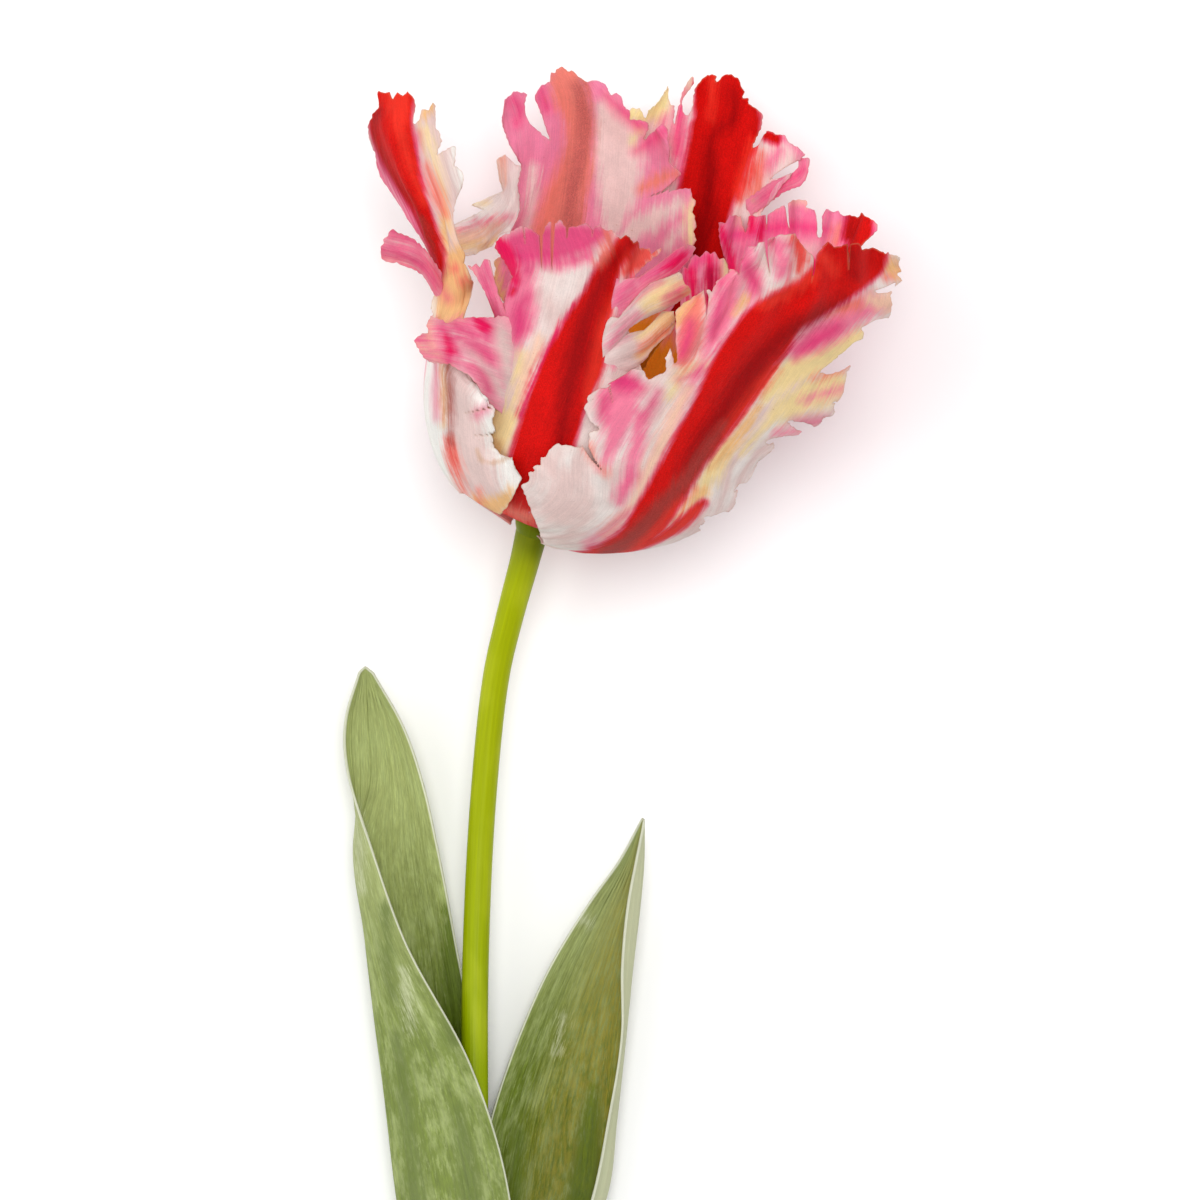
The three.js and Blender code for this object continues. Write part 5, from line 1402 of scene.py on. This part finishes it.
def paint_left(blade):
    """A narrow red flame above and a thin brown stripe below, on white, cream and apricot."""
    blade.fill("white", 2)
    blade.paint(("salmon", (-15, 8, 0.8), (-16.2, 12, 1.1), (-17.4, 16, 1.2), (-18.2, 20, 0.9)), root=0.0)
    # Pink streaks that run up from the root.
    for root, x, width in ((-0.9, -22.4, 1), (-0.72, -22, 1.6), (-0.5, -21.4, 1.2)):
        blade.paint(("blush", (x, 45, width)), root=root)
    blade.paint(
        ("pale", (-19, 52, 3), (-19.4, 62, 4), (-21, 72, 5), (-24, 82, 6), (-25, 92, 6)),
        ("pale", (-10, 7, 4), (-12.6, 13, 5), (-14.6, 21, 4), (-16, 30, 3.4), (-16.6, 36, 3)),
        # The lower half: white, with a thin brown-red stripe by its left side.
        ("glow", (-16.6, 12.4, 0.2), (-17.6, 16, 0.5), (-18.4, 19.6, 0.4)),
        ("brown", (-17.8, 19, 0.3), (-17.8, 25, 0.7), (-17.9, 30, 0.8), (-18.6, 36.6, 0.5)),
        ("apricot", (-19.2, 23, 0.3), (-19.4, 30, 0.7), (-19.8, 36, 0.6)),
        ("rose", (-20.8, 25, 0.3), (-21.2, 31, 0.5), (-21.2, 37, 0.4)),
        ("apricot", (-12.4, 6.6, 1.2), (-9, 5, 2.2), (-6, 6.4, 2), (-4.6, 8.6, 1)),
        ("salmon", (-11.8, 8.6, 0.3), (-11.4, 5, 0.5)),
        ("rose", (-12, 25.4, 0.4), (-10, 26.6, 0.6)),
        ("tan", (-12, 17.6, 0.3), (-11.4, 15.4, 0.4), (-9, 14.6, 0.4), (-5, 16, 0.3)),
        # The body: apricot below, cream above, with salmon spots and streaks.
        ("apricot", (-18, 42, 4), (-17.6, 50, 4), (-17, 57, 4), (-15.6, 61, 1.8)),
        ("cream", (-20.4, 61, 1), (-19.6, 67, 0.6), (-19.4, 73, 0.4), (-21, 80, 0.4), (-23.6, 88, 0.8)),
        ("apricot", (-20, 62, 0.7), (-19.4, 66, 0.7), (-19.4, 70, 0.5)),
        ("peach", (-17, 60, 1.4), (-17.4, 66, 0.4)),
        ("apricot", (-24, 91.4, 0.8), (-22.2, 93.6, 0.8)),
        ("salmon", (-15, 55, 0.8)),
        ("salmon", (-17, 57.6, 0.7)),
        ("salmon", (-19.4, 69.6, 0.6), (-20.6, 72.6, 1.3), (-21.8, 76, 1), (-23.4, 80, 0.5)),
        ("rose", (-24.2, 76, 0.3), (-25.8, 81, 0.4), (-25.4, 87, 0.3)),
        ("blush", (-22.6, 62, 0.9), (-26, 69, 1.8), (-30.4, 77, 2.4), (-34, 83, 1.6)),
        ("rose", (-25, 65.4, 0.3), (-29.4, 70.8, 0.6), (-33.4, 77, 0.6), (-34.6, 81, 0.5)),
        ("rose", (-20, 53, 0.3), (-18.6, 51, 0.4)),
        ("blush", (-18, 44.6, 1.2), (-16, 45.6, 1)),
        # The narrow flame, with painted shade in dark and brown along its left edge, where the rolled flame
        # turns from the light.
        ("scarlet", (-20.4, 54.5, 0.3), (-20.2, 58.5, 1), (-21.6, 63, 1.5), (-24.2, 69.5, 2),
         (-27.3, 76, 2.8), (-29.7, 83, 4), (-31.4, 90, 4.8), (-30.2, 97, 4.6)),
        ("glow", (-29.6, 97, 3.4), (-29.4, 91, 2.4), (-28.6, 86, 1.2), (-26.6, 79, 0.8), (-24, 72, 0.5)),
        ("deep", (-20.6, 57, 0.3), (-23, 64.6, 0.7), (-26.6, 71.4, 0.8), (-30.6, 78, 0.8),
         (-33.8, 84, 0.8), (-35.2, 89, 0.7), (-34, 92, 0.9)),
        ("brown", (-21.4, 60, 0.3), (-22.4, 64, 0.5), (-24.4, 68.4, 0.4)),
    )


def left_pink_lobe():
    """The pink lobe at the left petal's left."""
    pink = lobe([
        [(-20.6, 50, 5), (-20, 53, 7), (-20, 57, 8)],
        [(-26, 57, 10), (-25.6, 60, 12), (-25, 63.4, 12)],
        [(-33.6, 59.4, 13), (-33.6, 62.4, 15), (-31.4, 66.8, 15)],
    ], cells=(34, 56), teeth=0.8, seed=42)
    pink.ruffle(0.5, 2.4, 5)
    pink.fill("blush", 1.0)
    pink.paint(
        ("rose", (-21, 54, 0.4), (-25, 58.8, 0.6), (-29.6, 61.2, 0.5), (-33.6, 61.8, 0.3)),
        ("rose", (-24.6, 62.4, 0.4), (-28.6, 65, 0.5), (-31.4, 66.4, 0.4)),
        ("cream", (-33.8, 60, 0.4), (-27, 57.6, 0.6), (-23, 53.4, 0.5)),
    )
    return pink.skin()


def left_band():
    """The pale band that runs from the left petal behind the front one."""
    band = lobe([
        [(-17, 60, 10.5), (-17.4, 64, 9.6), (-18, 68, 9.4)],
        [(-12, 61, 1), (-13, 65.6, 0), (-13.6, 70, 0)],
        [(-8, 63.4, -17), (-9.6, 68.4, -15), (-13.8, 72.6, -12)],
        [(-3.8, 67.5, -26), (-5.8, 73.4, -25), (-8.6, 76.6, -20)],
        [(-2, 80, -27), (-4.6, 82, -26), (-8.4, 83.4, -22)],
    ], cells=(50, 100), reach=(1.06, 1.02), seed=43)
    band.ruffle(0.5, 2.4, 5)
    band.trim([
        (-18.6, 68), (-17.2, 67.4), (-14, 69), (-11, 70.8), (-12, 71.2), (-13.8, 71.8), (-9, 74),
        (-6.7, 75), (-7.4, 77.5), (-8.1, 82), (-6.2, 83.2), (-3.8, 81), (-1, 80), (-1, 66), (-5.2, 66),
        (-7.2, 65.3), (-9, 62.6), (-12, 61.2), (-13, 58), (-19, 58),
    ], teeth=0.2)
    band.fill("white", 2)
    band.paint(
        ("peach", (-17, 64, 2.4), (-13, 65, 1.6), (-8, 68, 1)),
        ("peach", (-7, 77, 0.6), (-7, 82, 0.8)),
        ("cream", (-16.6, 62.6, 0.6), (-12, 62.6, 0.6), (-8.4, 64, 0.5)),
        ("blush", (-16, 66.2, 0.2), (-11, 68, 0.3), (-5, 69.4, 0.1)),
        ("cream", (-13.6, 71.6, 0.5), (-10.6, 72.4, 0.6)),
    )
    return band.skin()


def left_petal():
    blade = left_blade()
    paint_left(blade)
    skins = [blade.skin(), left_pink_lobe(), left_band()]
    layers = "white pale peach cream apricot blush rose tan salmon scarlet glow deep brown"
    petal("left_petal", "petal_left", skins, layers, lift=1.08)


def left_back_blade():
    """The left back petal's broad upright blade."""
    blade = Sheet([
        inner(3.2, -92, -132, -172),
        inner(8.4, -86, -134, -182),
        inner(16, -90, -138, -188),
        inner(28, -108, -150, -194),
        inner(40, -130, -160, -198),
        [seen(-7.5, 61, -24), *inner(54, -163, -202)],
        above((-2.6, 72, -24.5), (12, 77, -34), (36, 64, -29)),
        above((-3, 81, -21.5), (13, 88, -34), (36.6, 73, -29)),
        above((-6.6, 89.5, -18.5), (13, 96, -32.5), (33.5, 81.6, -30)),
        above((-5.6, 97.2, -16.5), (9, 103, -31), (27.6, 91, -31)),
    ], BLADE_CELLS, waves=[("top", 1, 3)], reach=(1.05, 1.02), seed=51)
    blade.ruffle(0.6, 3.2, 7)
    blade.trim([
        (-4.9, 66), (-4.7, 70), (-2.6, 80.5), (-5.2, 85), (-6.7, 89), (-7.1, 92), (-6.5, 95), (-4, 97.1),
        (-0.9, 96.7), (-1.7, 94.5), (-1.5, 92), (-0.6, 90), (1.2, 88.5), (3.7, 86.5), (2.5, 89.5),
        (1.7, 92.2), (0.4, 95.2), (0.4, 96.3), (2, 98.5), (3.6, 99.3), (4, 101.3), (5, 101.3),
        (5.2, 102.1), (6.7, 102.7), (7.9, 101.6), (9, 101.9), (10.2, 100.5), (12, 99.2), (14, 99.7),
        (16.1, 98.8), (16.9, 97.6), (17.1, 96.4), (18.6, 96.9), (19.9, 95.8), (20.2, 94), (21.8, 92.7),
        (21.5, 91), (23.4, 90.9), (25.7, 90.3), (25.9, 88.8), (24.8, 86.6), (26.4, 88.2), (28.4, 90),
        (30.3, 89.6), (30.1, 86.6), (30.6, 84), (30.2, 81.4), (31.6, 80.2), (33.4, 78.9), (31.2, 76.9),
        (30.4, 75.3), (35, 75.9), (35.6, 73.6), (36.4, 72.8), (35.4, 70.4), (36.1, 69.4), (36.4, 67),
        (35.8, 66), (36.5, 64.2), (35.4, 62.6), (40, 40), (40, 0), (10, 0), (0, 30), (-5, 44),
        (-6.5, 50.2), (-7.6, 51.8), (-8.1, 53.4), (-8.9, 55.8), (-8.4, 57.4), (-8.9, 60), (-6, 61),
        (-4.6, 63),
    ], where=blade.v > 0.35)
    blade.slit(0.7, (31, 76.4), (28.6, 74.8), (25, 73.6))
    return blade


def paint_left_back(blade):
    """A dusky salmon stripe on pink and white."""
    blade.fill("blush", 1.8)
    blade.paint(("salmon", (4.8, 64, 5.8), (6.4, 71.4, 5), (9.4, 80, 3.9), (10.2, 86, 3.2),
                 (9.8, 92, 3.4), (8, 97, 4.2), (7.6, 101, 3.6)), root=0.0)
    blade.paint(
        ("pale", (18, 68, 2.6), (19, 78, 5.2), (18.8, 86, 5.4), (16.6, 93, 3)),
        ("pale", (-1.6, 66, 0.9), (-0.4, 73, 1.1), (0, 80, 0.8)),
        ("dusk", (8, 66, 2.4), (8.6, 74, 2.1), (9.6, 80, 1.9), (10.9, 86, 2), (11.3, 92, 1.9),
         (10.4, 98, 1.8)),
        ("orange", (18, 34, 6), (24, 44, 6)),
        ("rose", (-4.4, 95, 0.6), (-3, 93.6, 0.8), (-3.6, 90, 0.4)),
        ("rose", (1.8, 97, 0.5), (3, 93.6, 0.8)),
        ("rose", (16.6, 96, 0.8), (19.6, 93, 1.2), (23.6, 89.6, 1)),
        ("rose", (23, 84, 0.5), (26.6, 86.6, 1), (29.4, 88.6, 0.6)),
        ("salmon", (24, 75.6, 0.9), (28, 77.6, 1.4), (31.6, 79, 0.8)),
        ("cream", (35.6, 73, 0.5), (35, 69, 1), (35.4, 64, 0.8)),
        ("cream", (22, 86, 0.4), (23.6, 88.4, 0.5)),
        # Pale streaks on the lower right lobe: the petal's own streaks, painted paler as painted light
        # against the shade there.
        ("pale", (19, 64, 1.6), (25, 68, 2.4), (32, 72, 1.4)),
        ("pale", (30, 63, 0.6), (33, 66.6, 1)),
        ("apricot", (-8.4, 59.4, 0.8), (-8, 54, 0.7), (-6, 49, 0.6)),
    )


def left_back_petal():
    blade = left_back_blade()
    paint_left_back(blade)
    skins = [blade.skin()]
    layers = "blush pale cream apricot rose salmon dusk orange"
    petal("left_back_petal", "petal_left_back", skins, layers, lift=1.4)


def right_back_blade():
    """The right back petal's blade, with a hole behind its looping edge."""
    blade = Sheet([
        outer(0.4, -152, -190, -226),
        outer(4.5, -142, -190, -238),
        outer(11, -136, -190, -244),
        outer(22, -138, -190, -248),
        outer(34, -150, -192, -246),
        outer(48, -162, -196, -238),
        above((14, 80, -37.5), (37, 73, -38.5), (52.4, 71, -30)),
        above((20, 89, -38.5), (40, 88, -39), (57, 79.4, -28)),
        above((25, 97, -39), (42, 101.6, -38), (61, 84.4, -27)),
    ], BLADE_CELLS, waves=[("top", 1.2, 4)], reach=(1.05, 1.02), seed=61)
    blade.ruffle(0.5, 3.2, 7)
    blade.trim([
        (20.2, 93.9), (23.8, 93.5), (25, 91.4), (25.4, 92.9), (27.8, 94.9), (29.3, 97.5), (30.3, 99.3),
        (30.1, 96), (30.6, 94.2), (31.6, 94), (31.3, 90), (32, 93), (33, 97), (34.4, 99.8), (35.7, 100.7),
        (35.8, 99), (34.6, 97), (33.3, 95.2), (33.4, 92.6), (34.4, 92), (35.2, 93.2), (35.7, 97.6),
        (37.3, 99.9), (39, 101), (41, 100.7), (40.6, 99.2), (42.4, 100.9), (43.8, 101.1), (45.8, 100),
        (46.3, 98), (47.2, 97.3), (46.6, 95.7), (48, 95.7), (48.1, 94.4), (49.8, 93.2), (51, 92),
        (51, 90.4), (50.8, 89), (49.6, 86.6), (48.7, 84.6), (49.8, 85.2), (51.8, 88.7), (53.4, 88),
        (54.2, 87.6), (56, 87.5), (56.5, 86), (58.6, 85), (60.1, 83.4), (61.6, 82.8), (61.5, 81.6),
        (62, 80.4), (60.8, 78), (58, 76.4), (55, 74.6), (52.7, 72.4), (50.5, 70), (60, 50), (60, 0),
        (0, 0), (0, 70), (14, 88),
    ], where=blade.v > 0.7)
    blade.trim([
        (52.6, 77.6), (54, 78.9), (56.4, 80.5), (58.8, 81.7), (59.9, 81.4), (59, 80), (57.4, 79),
        (54.8, 78),
    ], where=blade.v > 0.7, teeth=0.1, hole=True)
    return blade


def paint_right_back(blade):
    """Red nearly all over, with pink edges, and orange inside."""
    blade.root_paint("orange", 60)
    blade.paint(("scarlet", (30, 44, 9), (35.4, 60, 7.6), (37.4, 70, 6.2), (40, 79, 6.7), (41.7, 85, 7.3),
                 (43, 91, 7.6), (41.4, 97, 5.7), (41, 101, 5)), root=0.0)
    # Pink up both sides.
    for root, x, width in ((-0.7, 16, 2), (0.7, 50, 2.4)):
        blade.paint(("blush", (x, 66, width)), root=root)
    blade.paint(
        ("cream", (22.6, 92, 2), (27, 93, 2.2), (29.6, 97, 1.2)),
        ("blush", (28.4, 86, 0.8), (29.4, 91, 0.6)),
        ("blush", (32.4, 78, 1.4), (32.4, 88, 1.5), (33, 94, 0.8)),
        ("rose", (31.8, 84, 0.7), (32.4, 91, 0.8), (33.6, 97, 0.5)),
        ("peach", (33.8, 96, 0.5), (35.2, 100, 0.7)),
        ("blush", (53, 88, 1), (57, 86, 1.2), (60, 83, 1.6), (60, 79, 1.6), (55, 76, 1.4),
         (51.6, 72.6, 1.2)),
        ("blush", (49.6, 78, 1), (52, 81, 1.4), (55, 84, 1)),
        ("salmon", (50.6, 83, 0.8), (50, 78, 1.6), (49.6, 72, 1.4)),
        ("scarlet", (52, 87.4, 1.2), (53.8, 86.6, 1.2)),
        ("glow", (40, 99.6, 0.8), (39.8, 95, 0.8), (39.4, 91, 0.6)),
        ("glow", (49, 86, 0.9), (47.8, 80, 1.7), (46, 74, 1.5)),
        ("deep", (36.6, 60, 2), (38.6, 70, 1.8), (39.4, 80, 1.4), (40, 87, 0.8), (44.4, 91.4, 0.8),
         (44.6, 97, 0.4)),
    )


def right_back_loop():
    """The edge that loops round the right back petal's hole."""
    loop = lobe([
        [(48, 69, -33), (47.4, 71, -33.4), (46.8, 73, -34)],
        [(55.6, 74.4, -29.4), (54, 75.8, -30), (52.4, 77, -31)],
        [(61, 78.4, -25.6), (59.8, 79.6, -26.4), (58.6, 80.4, -27.4)],
        [(61.6, 82.4, -26), (60.2, 82.4, -26.8), (58.8, 82.4, -27.8)],
    ], seed=62)
    loop.fill("blush", 1.4)
    loop.paint(
        ("rose", (50.6, 73.6, 0.5), (55.6, 76.4, 0.8), (60, 79.6, 0.5)),
        ("cream", (47.6, 71, 1), (50, 72.6, 0.6)),
        ("tan", (49, 73, 0.4)),
    )
    return loop.skin()


def right_back_petal():
    blade = right_back_blade()
    paint_right_back(blade)
    skins = [blade.skin(), right_back_loop()]
    layers = "cream blush peach rose tan salmon scarlet glow deep orange"
    petal("right_back_petal", "petal_right_back", skins, layers, lift=1.25)


def right_inner_blade():
    """The right inner petal's blade, with its low fringed top."""
    blade = Sheet([
        inner(3.2, 150, 110, 70),
        inner(8.4, 158, 110, 60),
        inner(16, 160, 110, 54),
        inner(28, 160, 110, 54),
        inner(40, 156, 112, 58),
        inner(54, 150, 114, 64),
        above((38, 58, -33), (57, 60, -21), (69, 57, 2)),
        above((41, 67.6, -33.5), (58, 71.6, -23), (76, 67.8, -6)),
    ], BLADE_CELLS, waves=[("top", 1.4, 5)], reach=(1.04, 1.03), seed=71)
    blade.ruffle(0.6, 3.0, 7)
    blade.trim([
        (41, 68.3), (42.8, 68.3), (43.6, 69.9), (46.2, 69.6), (47.1, 66), (47.8, 69.8), (50, 69.6),
        (51.9, 69.8), (54.6, 71.5), (57.6, 73.1), (60.9, 73), (60.8, 71.3), (62.6, 70.7), (63.1, 69),
        (63.1, 64.7), (63.9, 64.7), (64, 69.6), (65, 71.1), (66.6, 70.2), (67.5, 70.8), (68.8, 69.4),
        (70.2, 69.7), (72, 69.1), (72.6, 70.4), (73.6, 69.4), (75, 68.6), (76.3, 67.4), (76.2, 65.8),
        (74.6, 64.4), (72.2, 61.8), (75, 50), (70, 0), (30, 0), (38, 40), (43.4, 57.6), (42, 61.5),
        (41.2, 65),
    ], where=blade.v > 0.75)
    blade.slit(0.7, (56.2, 72), (56.6, 68), (57, 66))
    blade.slit(0.5, (51.8, 70), (51.8, 66))
    return blade


def paint_right_inner(blade):
    """A magenta and pink top with a red tip, and orange inside."""
    blade.fill("blush", 1.6)
    blade.root_paint("orange", 56)
    blade.fill("rose", -0.6)
    # Magenta up from the root.
    for root, x, width in ((-0.6, 48, 2), (0.0, 56, 3), (0.5, 62, 2)):
        blade.paint(("hot", (x, 58, width)), root=root)
    blade.paint(
        ("scarlet", (26, 36, 0.8), (28.4, 35.6, 0.8)),
        ("rose", (43, 65, 1.6), (48, 66, 1.6), (54, 67, 1.8), (60, 67, 1.6), (66, 66, 1)),
        ("hot", (41.8, 67, 0.6), (43, 63, 1), (44.4, 58, 1.2)),
        ("hot", (48.4, 69.4, 0.7), (48.6, 66.6, 0.6)),
        ("hot", (50.6, 69, 0.7), (50.6, 65, 0.7)),
        ("cream", (46.4, 69.4, 0.4), (46.8, 67, 0.4)),
        ("pale", (57, 61.6, 1.2), (62, 62, 1.8)),
        ("salmon", (67.6, 67, 0.8), (67, 63.6, 1.2)),
        ("scarlet", (72.4, 70, 2.6), (72, 66, 3.2), (70.6, 62, 2.6)),
        ("deep", (70.6, 69, 0.6), (70.4, 65, 0.8)),
        ("peach", (54, 72, 0.5), (58, 73, 0.8), (60.8, 72.6, 0.9)),
        ("cream", (73, 70, 0.5), (75.4, 68, 0.6)),
    )


def right_inner_crimson_lobe():
    """The crimson lobe that stands inside the cup."""
    crimson = lobe([
        [(33, 41, -33.85), (38.6, 41, -31.1), (44.8, 41, -26.6)],
        [(32.8, 48, -30.4), (38.4, 48, -29.8), (44.6, 48, -27.4)],
        [(33, 55, -29.2), (38.2, 55, -29.8), (44.2, 55, -29.6)],
        [(33.8, 62, -30), (38.4, 62.6, -31.2), (44, 61.6, -32)],
    ], cells=(50, 60), reach=(1.04, 1.0), seed=72)
    crimson.ruffle(0.4, 2.2, 4)
    crimson.trim([
        (32.6, 36), (32.4, 55), (33.4, 58.6), (34.2, 58), (35.2, 60.4), (36, 61.2), (37, 60.4),
        (38.4, 62), (39.4, 61.2), (40.4, 61.8), (41.4, 60), (42.4, 60.4), (43.4, 58.6), (46, 60),
        (46, 36),
    ], teeth=0.15)
    crimson.fill("blush", 1.0)
    crimson.paint(
        ("cream", (43, 60, 0.8), (42.6, 54, 1)),
        ("rose", (34, 56, 1.4), (36.4, 59.4, 1.4), (38.8, 60.6, 1.2), (40, 56, 1.4)),
        ("hot", (35.6, 51, 1.2), (35, 57, 1)),
        ("hot", (39.4, 51, 1.6), (39.6, 56, 1.5), (39.4, 60, 0.8)),
        ("deep", (39.6, 52, 0.5), (39.8, 57, 0.6)),
    )
    return crimson.skin()


def right_inner_petal():
    blade = right_inner_blade()
    paint_right_inner(blade)
    skins = [blade.skin(), right_inner_crimson_lobe()]
    layers = "blush pale cream peach rose hot salmon scarlet deep orange"
    petal("right_inner_petal", "petal_right_inner", skins, layers, lift=1.4)


# ----------------------------------------------------------- floor and lights
PICTURE_WIDTH = 0.2667          # metres of the flower that the picture spans
PICTURE_CENTRE = (14.9, -15.6)  # in mm, like the flower's own lengths
CAMERA_DISTANCE = 8.0
SENSOR = 36.0
FLOOR_REACH = 8.0


def floor():
    """The white surface that the flower lies on."""
    mesh = bpy.data.meshes.new("floor")
    corners = [(FLOOR_REACH * x, FLOOR_REACH * y, 0) for x, y in ((-1, -1), (1, -1), (1, 1), (-1, 1))]
    mesh.from_pydata(corners, [], [(0, 1, 2, 3)])
    made = bpy.data.objects.new("floor", mesh)
    bpy.context.scene.collection.objects.link(made)
    shader = Shader("floor")
    shader.surface((0.96, 0.96, 0.96, 1), roughness=0.9, shine=0.1)
    mesh.materials.append(shader.material)


def sun(name, strength, softness, azimuth, height):
    """A soft light from an azimuth and a height above the floor, in degrees."""
    light = bpy.data.lights.new(name, "SUN")
    light.energy = strength
    light.angle = math.radians(softness)
    made = bpy.data.objects.new(name, light)
    made.rotation_euler = (math.radians(90 - height), 0, math.radians(azimuth))
    bpy.context.scene.collection.objects.link(made)


def studio():
    """A white sky and three soft lights."""
    world = bpy.data.worlds.new("studio")
    world.use_nodes = True
    background = world.node_tree.nodes["Background"].inputs
    background["Color"].default_value = (1, 1, 1, 1)
    background["Strength"].default_value = 0.5
    bpy.context.scene.world = world
    sun("top", strength=1.6, softness=30, azimuth=180, height=82)
    sun("key", strength=0.95, softness=60, azimuth=-100, height=35)
    sun("fill", strength=0.4, softness=60, azimuth=110, height=38)
    bpy.context.scene.view_settings.view_transform = "Standard"


def camera():
    """A long lens that looks straight down."""
    data = bpy.data.cameras.new("camera")
    data.sensor_width = SENSOR
    data.lens = SENSOR * CAMERA_DISTANCE / PICTURE_WIDTH
    made = bpy.data.objects.new("camera", data)
    x, y = (PICTURE_CENTRE + BLOOM_BASE[:2]) * 0.001
    made.location = (x, y, CAMERA_DISTANCE)
    bpy.context.scene.collection.objects.link(made)
    bpy.context.scene.camera = made


stem()
left_leaf()
right_leaf()
front_petal()
right_front_petal()
left_petal()
left_back_petal()
right_back_petal()
right_inner_petal()
pistil()
stamens()
floor()
studio()
camera()
